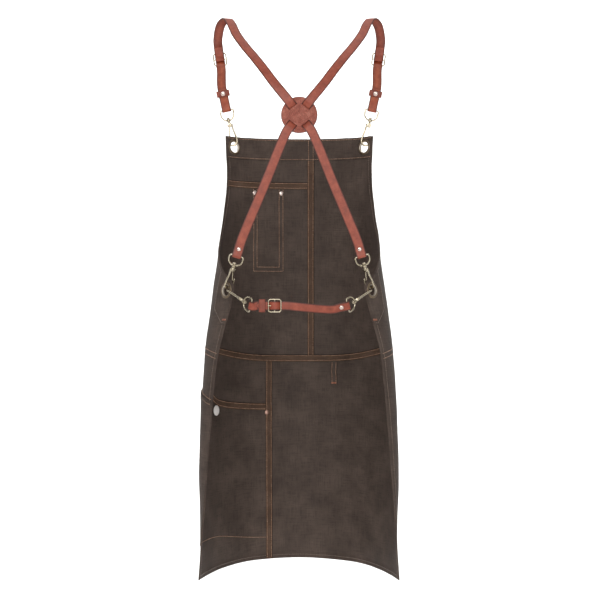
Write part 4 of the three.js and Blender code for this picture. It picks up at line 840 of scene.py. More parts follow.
for side in (-1, 1):
    row_top = (side * float(tab_outer(TAB_ROW_TOP) - 3), TAB_ROW_TOP)
    row_foot = (side * float(tab_outer(TAB_TOP + TAB_HEIGHT) - 3), TAB_ROW_FOOT)
    inner_row = down_line(lambda d: side * (tab_inner(d) + 2), TAB_ROW_TOP, TAB_ROW_FOOT)
    tab_rows.append((np.concatenate([[row_top], inner_row, [row_foot]]), INSIDE, OUTER_FACE))
sew("stitches_tabs", tab_rows, dun_thread)
loop_start = float(waist_at(LOOP_CENTRE)) + HALF_SEAM + 2
loop_rows = [
    down_line(lambda d: LOOP_CENTRE + off + 0.4 * np.sin(d / 5), loop_start, loop_start + LOOP_HEIGHT - 4)
    for off in (-LOOP_WIDTH / 2 + 1.8, LOOP_WIDTH / 2 - 1.8)
]
sew("stitches_loop", [(row, ON_TAPE, None) for row in loop_rows])

# Satin bars of rust thread over the ends of the towel loop, the tabs and the pen pocket's mouth. Each is as many
# threads side by side as its length holds, drawn as thick as the rest.
BAR_THREADS = 0.75  # spacing of the threads across a bar
BAR_HEIGHT, BAR_WAY = 3.4, [0.12, 0.99]
TAB_BAR = HALF_WIDTH - 5
# Place, length, level of the face and side of it
BARS = [(LOOP_CENTRE, loop_start + LOOP_HEIGHT - 5, 10, LOOP_FACE, -1)]
for level, side in ((0, -1), (OUTER_FACE, 1)):
    BARS += [(along, TAB_TOP + TAB_HEIGHT - 9, 9, level, side) for along in (-TAB_BAR, TAB_BAR)]
BARS += [(along, PEN_TOP + 2.5, 8, MOUTH_FACE, 1) for along in (PEN_LEFT + 5, PEN_RIGHT - 5)]
for number, (along, drop, length, level, side) in enumerate(BARS):
    places = np.arange(-length / 2, length / 2 + 0.01, BAR_THREADS)
    centres = np.stack([along + places, np.full(len(places), drop)], -1)
    ways = np.tile(BAR_WAY, (len(places), 1))
    lifted = np.full(len(places), float(level)) - (hem(centres[:, 0], centres[:, 1]) if side < 0 else 0)
    spans = np.full(len(places), BAR_HEIGHT)
    thread_mesh(f"bar_tack_{number}", centres, ways, spans, lifted, side, rust_thread)

# Eyelets, rivets and cap. The eyelets are pressed bronze-coloured steel in two halves that clamp the cloth, dark with
# a bright rim where the hooks rub. The rivets are nickel-plated domes, pressed through, and the cap covers a snap.
CLEAR = 0.3
ROUND_STEPS = 40
FACES_KEPT = 0.3  # share of a cast body's faces that is left
WORN_RIM = "#d8cdbd"


def plated(name, colour, worn, roughness, scratch, rim=None, metal=1.0):
    """A plated metal: polished, with fine scratches, and worn bright inside a radius in mm if it has a rim."""
    made, tree, shader = finish(name, {"Metallic": metal})
    place = add(tree, "ShaderNodeTexCoord").outputs["Object"]
    cloud = noise(tree, place, 130.0, 4.0)
    tint = ramp(tree, cloud, [(0.35, colour), (0.7, worn)])
    if rim:
        apart = add(tree, "ShaderNodeSeparateXYZ", {0: place})
        flat_way = add(tree, "ShaderNodeCombineXYZ", {0: apart.outputs[0], 1: apart.outputs[1]})
        far = add(tree, "ShaderNodeVectorMath", {0: flat_way.outputs[0]}, operation="LENGTH").outputs["Value"]
        tint = mixed(tree, mapped(tree, far, rim * MM, (rim + 0.5) * MM, 1.0, 0.0), tint, linear(WORN_RIM))
    scratch_way = add(tree, "ShaderNodeVectorMath", {0: place, 1: (1500, 240, 900)}, operation="MULTIPLY")
    scratches = noise(tree, scratch_way.outputs[0], 1.0)
    feed(
        tree,
        shader,
        Base_Color=tint,
        Roughness=mapped(tree, cloud, 0.3, 0.75, roughness, roughness + 0.16),
        Normal=bumped(tree, scratches, scratch, 0.05),
    )
    return made


bronze = plated("bronzed_steel", "#7b6b59", "#9c8a73", 0.34, 0.3, rim=11.0)
rose = plated("rose_nickel_plate", "#e9d3c8", "#f3e2d8", 0.2, 0.15)
dull_rose = plated("dull_rose_nickel_plate", "#b3897a", "#cba796", 0.38, 0.3)
cap_plate = plated("pale_lacquered_cap", "#f3ebe4", "#fbf7f2", 0.45, 0.2, metal=0.0)


def turned(profile, closed=False):
    """Points and faces of a profile of (radius, height) turned round z."""
    angles = np.linspace(0, 2 * math.pi, ROUND_STEPS, endpoint=False)
    rings = [[(r * math.cos(a), r * math.sin(a), z) for a in angles] for r, z in profile]
    return np.array(rings, float).reshape(-1, 3), skin(len(profile), ROUND_STEPS, closed, capped=False)


def moved(part, matrix):
    points, faces = part
    return points @ matrix[:3, :3].T + matrix[:3, 3], faces


def fitting(name, node, parts, material, matrix=None, body="apron", voxel=None):
    """One piece of metal or leather from several parts. With a voxel size in mm its parts are cast into one body."""
    points, faces, start = [], [], 0
    for part_points, part_faces in parts:
        points.append(part_points)
        faces += [[v + start for v in f] for f in part_faces]
        start += len(part_points)
    made = set_mesh(name, np.concatenate(points), faces, material, matrix=matrix)
    tidy = bmesh.new()
    tidy.from_mesh(made.data)
    bmesh.ops.remove_doubles(tidy, verts=tidy.verts, dist=1e-3 * MM)
    bmesh.ops.recalc_face_normals(tidy, faces=tidy.faces)
    tidy.to_mesh(made.data)
    tidy.free()
    made.data.shade_smooth()
    if voxel:
        remesh = made.modifiers.new("cast", "REMESH")
        remesh.mode = "VOXEL"
        remesh.voxel_size = voxel * MM
        remesh.use_smooth_shade = True
        soften = made.modifiers.new("polished", "SMOOTH")
        soften.iterations, soften.factor = 2, 0.5
        thin = made.modifiers.new("thin", "DECIMATE")
        thin.ratio = FACES_KEPT
        seen = made.evaluated_get(bpy.context.evaluated_depsgraph_get())
        cast = bpy.data.meshes.new_from_object(seen)
        made.modifiers.clear()
        made.data = cast
        made.data.shade_smooth()
    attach(made, body)
    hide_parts(node)
    return made


EYELET_HOLE, EYELET_BARREL, EYELET_FLANGE = 10.5, 11.4, 15.5
for name, place in EYELETS.items():
    low, high = (SEAM_FACE, CANVAS_THICK) if name.startswith("top") else (0, OUTER_FACE)
    half_profile = [
        (EYELET_HOLE, 0.6),
        (EYELET_HOLE + 0.15, 1.0),
        (EYELET_HOLE + 0.6, 1.3),
        (12.3, 1.38),
        (13.8, 1.22),
        (14.9, 0.86),
        (EYELET_FLANGE, 0.42),
        (EYELET_FLANGE, CLEAR),
        (EYELET_BARREL, CLEAR),
    ]
    profile = [(r, high + z) for r, z in half_profile] + [(r, low - z) for r, z in half_profile[::-1]]
    parts = [turned(profile, closed=True)]
    fitting(f"grommet_{name}", f"eyelet_{name}", parts, bronze, flat_place(*place))

RIVET_RADIUS, RIVET_SHANK, RIVET_BACK = 4.5, 1.5, 0.86  # its back is smaller by this share
DOME = [
    (0, 1.38),
    (1.4, 1.3),
    (2.7, 1.08),
    (3.7, 0.72),
    (4.3, 0.36),
    (RIVET_RADIUS, 0.06),
    (4.4, 0),
    (RIVET_SHANK, 0),
]


def rivet_profile(low, high):
    front = [(r, low - CLEAR - z) for r, z in DOME]
    back = [(r * RIVET_BACK, high + CLEAR + z) for r, z in DOME[::-1]]
    return front + [(RIVET_SHANK, high + CLEAR)] + back[1:]


for name, place in RIVETS.items():
    low, plate = (SEAM_FACE, dull_rose) if name == "rivet_hip" else (0, rose)
    parts = [turned(rivet_profile(low, OUTER_FACE))]
    fitting(f"{name}_dome", name, parts, plate, flat_place(*place))

cap_profile = [(0, 2.2), (3, 2.15), (6, 1.95), (8.2, 1.5), (9.5, 0.9), (10, 0.45), (9.9, 0.05), (3, 0)]
cap_back = [(3, 0), (6.9, 0.0), (7.1, 0.35), (6.6, 0.9), (5.2, 1.15), (3.4, 0.75), (0, 0.7)]
profile = [(r, SEAM_FACE - CLEAR - z) for r, z in cap_profile] + [(r, OUTER_FACE + CLEAR + z) for r, z in cap_back]
fitting("cap_dome", "snap_cap", [turned(profile)], cap_plate, flat_place(*CAP))

# Snap hooks, their gates and D-shaped loops. Cast zinc with pale nickel plate: a round eye with a pin, a slim spine
# that ends in the hooked bow, a sprung gate on the pin, and a swivelling loop on the neck that carries the strap.
# Each hook's frame has its pin at the origin, z towards the strap, and the gate on the x side.
nickel = plated("pale_nickel_plate", "#b8ab91", "#dacfb8", 0.17, 0.2)
HOOK_DEPTH, BOW_RADIUS = 41, 8.5
BOW_CENTRE = BOW_RADIUS - HOOK_DEPTH
GATE_LENGTH, GATE_TIP_X = 26, 5.05
GATE_TIP_Z = -math.sqrt(GATE_LENGTH**2 - GATE_TIP_X**2)
HEAD_RADIUS = 4.4
NECK_TOP = 12.6
BOSS_LOW, BOSS_HEIGHT = 6.6, 5
LOOP_RADIUS, LOOP_HALF = 1.5, 13
BAR_Z = 30.1
LOOP_CENTRE_Z = BOSS_LOW + BOSS_HEIGHT / 2
END_REACH, END_SHARE = 0.35, 0.6  # how far a bar's rounded end goes on, and the share of its thickness left there


def run_through(points, closed=False):
    """A smooth line through points, for shares from 0 to 1 of its way."""
    p = np.array(points, float)
    if closed:
        padded = np.vstack([p[-1], p, p[0], p[1]])
        spans = len(p)
    else:
        padded = np.vstack([2 * p[0] - p[1], p, 2 * p[-1] - p[-2]])
        spans = len(p) - 1

    def at(share):
        s = np.clip(np.asarray(share, float), 0, 1) * spans
        i = np.minimum(s.astype(int), spans - 1)
        w = (s - i)[..., None]
        p0, p1, p2, p3 = (padded[i + k] for k in range(4))
        pairs = (p0, p1), (p1, p2), (p2, p3)
        d0, d1, d2 = (np.sqrt(np.linalg.norm(b - a, axis=-1, keepdims=True)) for a, b in pairs)
        d0, d2 = np.maximum(d0, 1e-4), np.maximum(d2, 1e-4)
        t1 = ((p1 - p0) / d0 - (p2 - p0) / (d0 + d1) + (p2 - p1) / d1) * d1
        t2 = ((p2 - p1) / d1 - (p3 - p1) / (d1 + d2) + (p3 - p2) / d2) * d1
        return p1 + t1 * w + (3 * (p2 - p1) - 2 * t1 - t2) * w**2 + (2 * (p1 - p2) + t1 + t2) * w**3

    return at


def swept(path, plane, widths, heights, sides=14, closed=False):
    """A bar along a path that lies in a plane: half widths in that plane, half heights along its normal."""
    path = np.array(path, float)
    if closed:
        run = unit(np.roll(path, -1, 0) - np.roll(path, 1, 0))
    else:
        run = unit(np.gradient(path, axis=0))
        ends = END_REACH * np.array([widths[0], widths[-1]])
        path = np.vstack([path[0] - run[0] * ends[0], path, path[-1] + run[-1] * ends[1]])
        run = np.vstack([run[0], run, run[-1]])
        widths = np.concatenate([[widths[0] * END_SHARE], widths, [widths[-1] * END_SHARE]])
        heights = np.concatenate([[heights[0] * END_SHARE], heights, [heights[-1] * END_SHARE]])
    side = unit(np.cross(plane, run))
    points = []
    for k in range(sides):
        angle = 2 * math.pi * (k + 0.5) / sides
        points.append(path + side * (widths * math.cos(angle))[:, None] + np.outer(heights * math.sin(angle), plane))
    return np.stack(points, 1).reshape(-1, 3), skin(len(path), sides, closed)


def turn_x(degrees):
    a = math.radians(degrees)
    made = np.eye(4)
    made[1:3, 1:3] = [[math.cos(a), -math.sin(a)], [math.sin(a), math.cos(a)]]
    return made


def shifted(x, y, z):
    made = np.eye(4)
    made[:3, 3] = x, y, z
    return made


SIDEWAYS = np.array([0.0, 1.0, 0.0])
bow_points = [
    (BOW_RADIUS * math.cos(math.radians(a)), 0, BOW_CENTRE + BOW_RADIUS * math.sin(math.radians(a)))
    for a in (200, 235, 270, 305, 340)
]
spine_points = [(-4.6, 0, 1), (-5.6, 0, -11.4), (-8.1, 0, -25.4)]
steps = np.linspace(0, 1, 70)
hook_line = run_through([*spine_points, *bow_points, (BOW_RADIUS, 0, GATE_TIP_Z + 3.4)])(steps)
HOOK_SHARES = [0, 0.12, 0.35, 0.6, 0.8, 0.94, 1]
hook_width = np.interp(steps, HOOK_SHARES, [1.9, 1.7, 1.8, 2.0, 1.95, 1.7, 1.35])
hook_height = np.interp(steps, HOOK_SHARES, [2.6, 2.0, 1.9, 1.9, 1.9, 1.8, 1.5])
cheek = [(0, -0.85), (3.6, -0.85), (4.2, -0.6), (HEAD_RADIUS, 0), (4.2, 0.6), (3.6, 0.85), (0, 0.85)]
pin = [(0, -2.9), (1.1, -2.9), (1.1, 2.9), (0, 2.9)]
pin_head = [(0, -0.45), (1.0, -0.35), (1.35, 0), (1.35, 0.4), (0, 0.4)]
neck = [(0, 3.2), (2.6, 3.4), (2.0, 5.2), (1.9, 6), (1.9, NECK_TOP)]
neck += [(3.1, NECK_TOP), (3.3, 13.1), (3.1, 14.1), (2.2, 14.6), (0, 14.7)]
shoulder_line = [(-3.6, 0, 2.0), (-1.6, 0, 3.9), (0.2, 0, 4.3)]
on_pin = turn_x(90)
hook_parts = [
    swept(hook_line, SIDEWAYS, hook_width, hook_height),
    moved(turned(cheek), shifted(0, 2.15, 0) @ on_pin),
    moved(turned(cheek), shifted(0, -2.15, 0) @ on_pin),
    moved(turned(pin), on_pin),
    moved(turned(pin_head), shifted(0, 3.1, 0) @ turn_x(90)),
    moved(turned(pin_head), shifted(0, -3.1, 0) @ turn_x(-90)),
    swept(shoulder_line, SIDEWAYS, np.array([1.2, 1.3, 1.1]), np.array([2.9, 2.9, 2.6])),
    turned(neck),
]
gate_steps = np.linspace(0, 1, 24)
gate_line = np.stack([GATE_TIP_X * gate_steps, 0 * gate_steps, GATE_TIP_Z * gate_steps], -1)[2:]
gate_width = np.interp(gate_steps, [0, 0.3, 0.85, 1], [1.25, 1.1, 1.05, 0.75])[2:]
gate_eye = [(1.4, -1.2), (2.6, -1.2), (2.9, -0.9), (2.9, 0.9), (2.6, 1.2), (1.4, 1.2)]
gate_parts = [
    swept(gate_line, SIDEWAYS, gate_width, np.full(len(gate_line), 1.2)),
    moved(turned(gate_eye, closed=True), on_pin),
]
D_SHARES = [(0, 0), (0.5, 0.08), (0.9, 0.36), (1, 0.7), (0.97, 0.93), (0.84, 1), (0, 1)]
d_height = BAR_Z - LOOP_CENTRE_Z
d_right = [(x * LOOP_HALF, 0, LOOP_CENTRE_Z + z * d_height) for x, z in D_SHARES]
d_left = [(-x, y, z) for x, y, z in d_right[-2:0:-1]]
d_line = run_through(d_right + d_left, closed=True)(np.linspace(0, 1, 96, endpoint=False))
d_wire = np.full(len(d_line), LOOP_RADIUS)
boss = [(2.2, 0), (3.6, 0), (3.9, 0.4), (4.1, 2.5), (3.9, 4.6), (3.6, 5), (2.2, 5)]
loop_parts = [
    swept(d_line, SIDEWAYS, d_wire, d_wire, closed=True),
    moved(turned(boss, closed=True), shifted(0, 0, BOSS_LOW)),
]

BOW_WIRE = 1.9  # half of the bow's thickness where it crosses the eyelet's rim
# How each hook hangs: its eyelet, the pull on it on the wearer's left, its turn about that pull in degrees, the face
# of the cloth that its spine is on, how far its bow is sunk in the eyelet, and the way that its loop's bar lies
HOOKS = {
    "top": ("top", (-0.2, 0.02, 0.98), 48, -1, 5.2, (1, 0, 0)),
    "lower": ("side", (0.25, -0.53, 0.81), 0, 1, 2.6, (1, 0, -0.25)),
    "waist": ("side", (0.6, -0.71, -0.37), -24, 1, 2.6, (0, 0, 1)),
}
SIDES = {"left": -1, "right": 1}
hooks = {}
for side_name, sign in SIDES.items():
    for name, (eyelet, pull, roll, face, sunk, bar) in HOOKS.items():
        place = flat_place(*EYELETS[f"{eyelet}_{side_name}"])
        out = place[:3, 2]
        low, high = (SEAM_FACE, CANVAS_THICK) if eyelet == "top" else (0, OUTER_FACE)
        up = unit(np.array([-sign * pull[0], pull[1], pull[2]]))
        in_plane = unit(up - out * (up @ out))
        crossing = place[:3, 3] + out * (low + high) / 2 + in_plane * (EYELET_HOLE - BOW_WIRE - sunk)
        square = -face * out
        x = unit(square - up * (square @ up))
        angle = math.radians(-sign * roll)
        x = x * math.cos(angle) + np.cross(up, x) * math.sin(angle)
        pivot = crossing + up * HOOK_DEPTH
        bar_way = unit(np.array([-sign * bar[0], bar[1], bar[2]]))
        bar_x = unit(bar_way - up * (bar_way @ up))
        placed = frame_of(pivot, x, np.cross(up, x), up)
        loop_placed = frame_of(pivot, bar_x, np.cross(up, bar_x), up)
        key = f"{name}_{side_name}"
        hooks[key] = (pivot + up * BAR_Z, bar_x)
        # The first of each is cast, and the others share its mesh
        if name == "top" and side_name == "left":
            hook, gate, loop = f"snap_hook_{key}", f"snap_gate_{key}", f"d_loop_{key}"
            hook_cast = fitting(hook, f"hook_{key}", hook_parts, nickel, placed, voxel=0.3)
            gate_cast = fitting(gate, f"gate_{key}", gate_parts, nickel, placed, f"gate_{key}", 0.22)
            loop_cast = fitting(loop, f"loop_{key}", loop_parts, nickel, loop_placed, voxel=0.3)
            continue
        for cast, kind, node, matrix, body in (
            (hook_cast, "snap_hook", "hook", placed, "apron"),
            (gate_cast, "snap_gate", "gate", placed, f"gate_{key}"),
            (loop_cast, "d_loop", "loop", loop_placed, "apron"),
        ):
            made = bpy.data.objects.new(f"{kind}_{key}", cast.data)
            bpy.context.scene.collection.objects.link(made)
            matrix = matrix.copy()
            matrix[:3, 3] *= MM
            made.matrix_world = Matrix(matrix.tolist())
            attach(made, body)
            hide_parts(f"{node}_{key}")

# Straps. Vegetable-tanned cowhide, 2 mm thick and dyed red brown: the grain side is smooth with a creased line beside
# each edge, the cut edges are burnished dark. Ends are turned back round the loops and rivetted.
LEATHER = 2
STRAP_WIDTH, WAIST_STRAP_WIDTH = 18, 16
PITCH = LEATHER + CLEAR
FRAME_WIRE, FRAME_THICK, FRAME_LENGTH = 2.6, 2.4, 12.6
FRAME_INNER = FRAME_LENGTH - FRAME_WIRE
LAYER = FRAME_THICK / 2 + CLEAR + LEATHER / 2
GRAIN = 1.5  # mm between pores; the real ones are 0.3 mm, too fine to show
BURNT_EDGE = "#4c251c"


def cowhide(name, dark, mid, pale, pebble=None):
    """Leather: cloudy dye, pores or pebbles, burnished dark where the mesh marks its edge."""
    made, tree, shader = finish(name, {"Specular IOR Level": 0.45, "Coat Weight": 0.06, "Coat Roughness": 0.35})
    place = add(tree, "ShaderNodeTexCoord").outputs["Object"]
    dye = noise(tree, place, 90.0, 5.0, 0.6)
    base = ramp(tree, dye, [(0.3, dark), (0.5, mid), (0.7, pale)])
    cells = {"Vector": place, "Scale": 1 / ((pebble or GRAIN) * MM), "Randomness": 1.0}
    pores = add(tree, "ShaderNodeTexVoronoi", cells, feature="DISTANCE_TO_EDGE").outputs["Distance"]
    crevice = ramp(tree, pores, [(0.0, 0.5 if pebble else 0.8), (0.2, 1.0)])
    edge = add(tree, "ShaderNodeAttribute", attribute_name="edge").outputs["Fac"]
    relief = worked(tree, "ADD", pores, noise(tree, place, 900.0, 3.0))
    strength, deep = (1.0, 1.2) if pebble else (0.3, 0.25)
    feed(
        tree,
        shader,
        Base_Color=mixed(tree, edge, mixed(tree, 1.0, base, crevice, "MULTIPLY"), linear(BURNT_EDGE)),
        Roughness=mapped(tree, dye, 0.3, 0.7, 0.4, 0.56),
        Normal=bumped(tree, relief, strength, deep),
    )
    return made


strap_hide = cowhide("veg_tanned_strap_hide", "#8b402c", "#9f4b36", "#b05b44")
billet_hide = cowhide("veg_tanned_billet_hide", "#954025", "#ab5030", "#bd6442")

# Half of a strap's section: inset from the edge in mm, height, and how much it is burnished
SECTION = [(0, 0.35, 1), (0.35, 0.78, 1), (1.0, 1.0, 0.75), (1.8, 0.84, 0.5), (2.7, 1.0, 0)]
UNDERSIDE = [(0, -0.35, 1), (0.35, -0.78, 1), (1.1, -1.0, 0.5)]
STRAP_STEP, TIP_STEPS = 2.6, 14  # mm between rings, and rings in a pointed tip
TIP_ROUNDING, TIP_BLUNT = 2.2, 0.1
LIP_SHARE, LIP_REACH = 0.86, 0.28  # the rounded cut end: its size as a share of the section, and how far it goes


def strap(name, node, stations, width, material, tip=None):
    """A strap along stations of (place, way its grain faces). tip is the length of its pointed start."""
    places = np.array([s[0] for s in stations])
    facings = np.array([s[1] for s in stations])
    line = run_through(places)
    spans = len(places) - 1
    gaps = np.linalg.norm(np.diff(places, axis=0), axis=1)
    shares = []
    for k, gap in enumerate(gaps):
        parts = max(3, math.ceil(gap / STRAP_STEP))
        shares += [(k + i / parts) / spans for i in range(parts)]
    if tip:
        lengths = np.concatenate([[0], np.cumsum(gaps)])
        fine = [np.interp(reach, lengths, np.arange(spans + 1)) / spans for reach in np.linspace(0, tip, TIP_STEPS)]
        shares = sorted(set(fine + shares))
    shares = np.array([*shares, 1.0])
    at = line(shares)
    run = unit(line(shares + 1e-4) - line(shares - 1e-4))
    facing = np.stack([np.interp(shares * spans, np.arange(spans + 1), facings[:, k]) for k in range(3)], -1)
    across = unit(np.cross(facing, run))
    out = np.cross(run, across)
    travelled = np.concatenate([[0], np.cumsum(np.linalg.norm(np.diff(at, axis=0), axis=1))])
    half = np.full(len(at), width / 2)
    if tip:
        round_off = np.clip(1 - travelled / tip, 0, 1)
        half = half * np.maximum(np.sqrt(1 - round_off**TIP_ROUNDING), TIP_BLUNT)
    inset_share = np.minimum(1, half / 4)
    columns = [(1, row) for row in SECTION] + [(0, (0, 1.02, 0))] + [(-1, row) for row in SECTION[::-1]]
    columns += [(-1, row) for row in UNDERSIDE] + [(0, (0, -1.0, 0))] + [(1, row) for row in UNDERSIDE[::-1]]
    points, edge = [], []
    for sign, (inset, height, burnish) in columns:
        reach = sign * (half - inset * inset_share)
        points.append(at + across * reach[:, None] + out * (height * LEATHER / 2))
        edge.append(np.full(len(at), float(burnish)))
    grid, edge = np.stack(points, 1), np.stack(edge, 1)
    for end, way in ((0, -1), (-1, 1)):
        middle = grid[end].mean(0)
        lip = middle + (grid[end] - middle) * LIP_SHARE + run[end] * way * LIP_REACH
        grid = np.vstack([lip[None], grid]) if end == 0 else np.vstack([grid, lip[None]])
        burnt = np.ones((1, edge.shape[1]))
        edge = np.vstack([burnt, edge]) if end == 0 else np.vstack([edge, burnt])
    made = set_mesh(name, grid.reshape(-1, 3), skin(*grid.shape[:2]), material, edge=edge.ravel())
    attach(made, "apron")
    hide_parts(node)
    return made


def in_frame(matrix, rows):
    """Stations of a strap that bends about a frame's x, from rows of (z along it, y outwards)."""
    made = []
    for i, (z, y) in enumerate(rows):
        before, after = rows[max(i - 1, 0)], rows[min(i + 1, len(rows) - 1)]
        facing = unit(np.cross([1.0, 0, 0], [0, after[1] - before[1], after[0] - before[0]]))
        made.append((matrix[:3, :3] @ [0, y, z] + matrix[:3, 3], matrix[:3, :3] @ facing))
    return made


def around(radius, angles):
    return [(radius * math.cos(math.radians(a)), radius * math.sin(math.radians(a))) for a in angles]


def turned_end(back):
    """A strap's end turned back round a loop's bar."""
    radius = LOOP_RADIUS + CLEAR + LEATHER / 2
    half = PITCH / 2
    return [
        (back + 4, half),
        (4.5 * radius, half + 0.05),
        (2 * radius, half + 0.7),
        *around(radius, [80, 110, 145, 180, 215, 250, 280]),
        (2 * radius, -half - 0.7),
        (4.5 * radius, -half - 0.05),
        (back, -half),
    ]


def billet_way(tip):
    """The pointed end: behind the frame, over the middle bar and behind the frame again."""
    return [
        (tip, -LAYER + 0.5),
        (tip - 5, -LAYER + 0.3),
        (tip - 9, -LAYER + 0.1),
        (FRAME_LENGTH + 1, -LAYER - 0.1),
        (FRAME_INNER * 0.9, -LAYER + 0.2),
        (FRAME_INNER * 0.6, LAYER * 0.6),
        (FRAME_INNER * 0.3, LAYER + PITCH * 0.8),
        (0, LAYER + PITCH + 0.25),
        (-FRAME_INNER * 0.3, LAYER + PITCH * 0.8),
        (-FRAME_INNER * 0.6, LAYER * 0.6),
        (-FRAME_INNER * 0.9, -LAYER + 0.2),
        (-FRAME_LENGTH - 1, -LAYER - 0.15),
        (-FRAME_LENGTH - 8, -LAYER - 0.05),
    ]


def carrier_way(run, back):
    """The strap that holds the buckle: round its middle bar and turned back behind itself."""
    deep = LAYER + PITCH + 0.2
    return [
        (run, -deep),
        (FRAME_LENGTH, -deep - 0.15),
        (FRAME_INNER * 0.72, -deep + 0.4),
        (FRAME_INNER * 0.44, -LAYER * 0.6),
        *around(LAYER, [50, 90, 130, 180, 230, 268]),
        (FRAME_INNER * 0.4, -LAYER - 1.6),
        (FRAME_INNER * 0.8, -deep - PITCH - 0.1),
        (FRAME_LENGTH + 2, -deep - PITCH - 0.2),
        (back, -deep - PITCH - 0.15),
    ]


def bar_frame(key, towards, outwards):
    """Frame of a loop's bar: z towards the strap's run, y outwards."""
    bar, x = hooks[key][0], hooks[key][1].copy()
    z = towards - bar
    if np.cross(z, x) @ outwards < 0:
        x = -x
    z = unit(z - x * (z @ x))
    return frame_of(bar, x, np.cross(z, x), z)


FRONT, BACK = np.array([0.0, 1, 0]), np.array([0.0, -1, 0])
SHOULDER_HALF, BUCKLE_DROP, TIP_LENGTH, TIP_POINT = 139, 67, 30, 9
BUCKLE_OUT, BUCKLE_BACK = 1.115, 0.72  # shares of the shoulder's half width and of the reach to the eyelet
FRONT_RETURN, LOWER_RETURN = 42, 24
PATCH_REACH, PATCH_DROP, PATCH_RADIUS, PATCH_THICK = 130, 197, 33, 2.5
SLOT_RADIUS, SLOT_OPENING, STRAP_LEAN = 23, 10, 37.3
LEAN_SIN, LEAN_COS = math.sin(math.radians(STRAP_LEAN)), math.cos(math.radians(STRAP_LEAN))
# Way of a shoulder strap over the body: shares of the shoulder's half width, of the reach back to the patch and of
# the drop to it, and how far its grain has turned from forwards, upwards, in degrees
ROUTE = [
    (1.133, -0.13, 0.168, 32),
    (1.086, 0.015, 0.046, 48),
    (1, 0.123, -0.005, 92),
    (0.928, 0.26, 0.063, 130),
    (0.86, 0.4, 0.172, 140),
    (0.732, 0.585, 0.312, 143),
    (0.592, 0.746, 0.443, 148),
    (0.463, 0.869, 0.568, 155),
    (0.342, 0.954, 0.689, 163),
]
patch_at = np.array([0, -PATCH_REACH, -PATCH_DROP], float)
on_patch = PATCH_THICK / 2 + CLEAR + LEATHER / 2
bars, buckles = {}, {}
for side_name, sign in SIDES.items():
    top_bar = hooks[f"top_{side_name}"][0]
    buckle_at = np.array([sign * SHOULDER_HALF * BUCKLE_OUT, top_bar[1] * BUCKLE_BACK, -BUCKLE_DROP])
    bars[f"front_{side_name}"] = bar_frame(f"top_{side_name}", buckle_at, FRONT)
    z = unit(buckle_at - top_bar)
    y = unit(FRONT - z * (FRONT @ z))
    buckles[side_name] = frame_of(buckle_at, np.cross(y, z), y, z)
    way = in_frame(buckles[side_name], billet_way(TIP_LENGTH))
    way += in_frame(bars[f"front_{side_name}"], turned_end(FRONT_RETURN))
    strap(f"billet_strap_{side_name}", f"billet_{side_name}", way, STRAP_WIDTH, billet_hide, TIP_POINT)
for layer, (side_name, sign) in enumerate(SIDES.items()):
    other = "right" if side_name == "left" else "left"
    lean = np.array([sign * LEAN_SIN, 0, LEAN_COS])
    under = on_patch + 0.2 + layer * (PITCH + 0.1)
    slot_inner, slot_outer = SLOT_RADIUS - SLOT_OPENING / 2, SLOT_RADIUS + SLOT_OPENING / 2
    route = [
        (
            np.array([sign * x * SHOULDER_HALF, -y * PATCH_REACH, -z * PATCH_DROP]),
            np.array([0, math.cos(math.radians(a)), math.sin(math.radians(a))]),
        )
        for x, y, z, a in ROUTE
    ]
    dive = [
        (PATCH_RADIUS + 4, -on_patch - 0.2),
        (slot_outer + 0.6, -on_patch - 0.2),
        (SLOT_RADIUS, 0),
        (slot_inner - 0.6, on_patch + 0.2),
        (slot_inner * 0.66, under),
        (0, under),
    ]
    dive += [(-reach, level) for reach, level in dive[-2::-1]]
    through = [(patch_at + lean * reach + FRONT * level, BACK) for reach, level in dive]
    exit_place = through[-1][0]
    lower = bar_frame(f"lower_{other}", exit_place, BACK)
    bars[f"lower_{other}"] = lower
    end = in_frame(lower, turned_end(LOWER_RETURN))
    middle = ((exit_place + end[0][0]) / 2, BACK)
    start = in_frame(buckles[side_name], carrier_way(FRAME_LENGTH + 8, TIP_LENGTH - 4))[::-1]
    way = [*start, *route, *through, middle, *end]
    strap(f"cross_strap_{side_name}", f"shoulder_strap_{side_name}", way, STRAP_WIDTH, strap_hide)

# Waist strap. A long tongue from the wearer's right goes through a buckle that a short doubled strap holds on the
# left; both are 16 mm wide and of the same hide.
WAIST_BUCKLE, WAIST_TIP, WAIST_KEEPER, WAIST_RIVET = 44, 33, 23, 12
left_bar, right_bar = hooks["waist_left"][0], hooks["waist_right"][0]
waist_run = unit(right_bar - left_bar)
waist_at_buckle = left_bar + waist_run * WAIST_BUCKLE + BACK * (PITCH / 2 + LAYER + PITCH)
waist_buckle = frame_of(waist_at_buckle, np.cross(BACK, -waist_run), BACK, -waist_run)
right_frame = bar_frame("waist_right", left_bar, BACK)
left_frame = bar_frame("waist_left", right_bar, BACK)
long_way = in_frame(waist_buckle, billet_way(WAIST_TIP)) + in_frame(right_frame, turned_end(LOWER_RETURN))
strap("tongue_waist", "waist_strap", long_way, WAIST_STRAP_WIDTH, strap_hide, TIP_POINT)
near_bar = WAIST_BUCKLE - 12
turned_level = -LAYER - 2 * PITCH - 0.3
short_way = in_frame(waist_buckle, carrier_way(near_bar, FRAME_LENGTH + 7))[::-1]
short_way += in_frame(left_frame, turned_end(LOWER_RETURN)[2:-2])
short_way += in_frame(waist_buckle, [(near_bar - 7, turned_level), (near_bar, turned_level)])[::-1]
strap("carrier_waist", "waist_carrier", short_way, WAIST_STRAP_WIDTH, strap_hide)

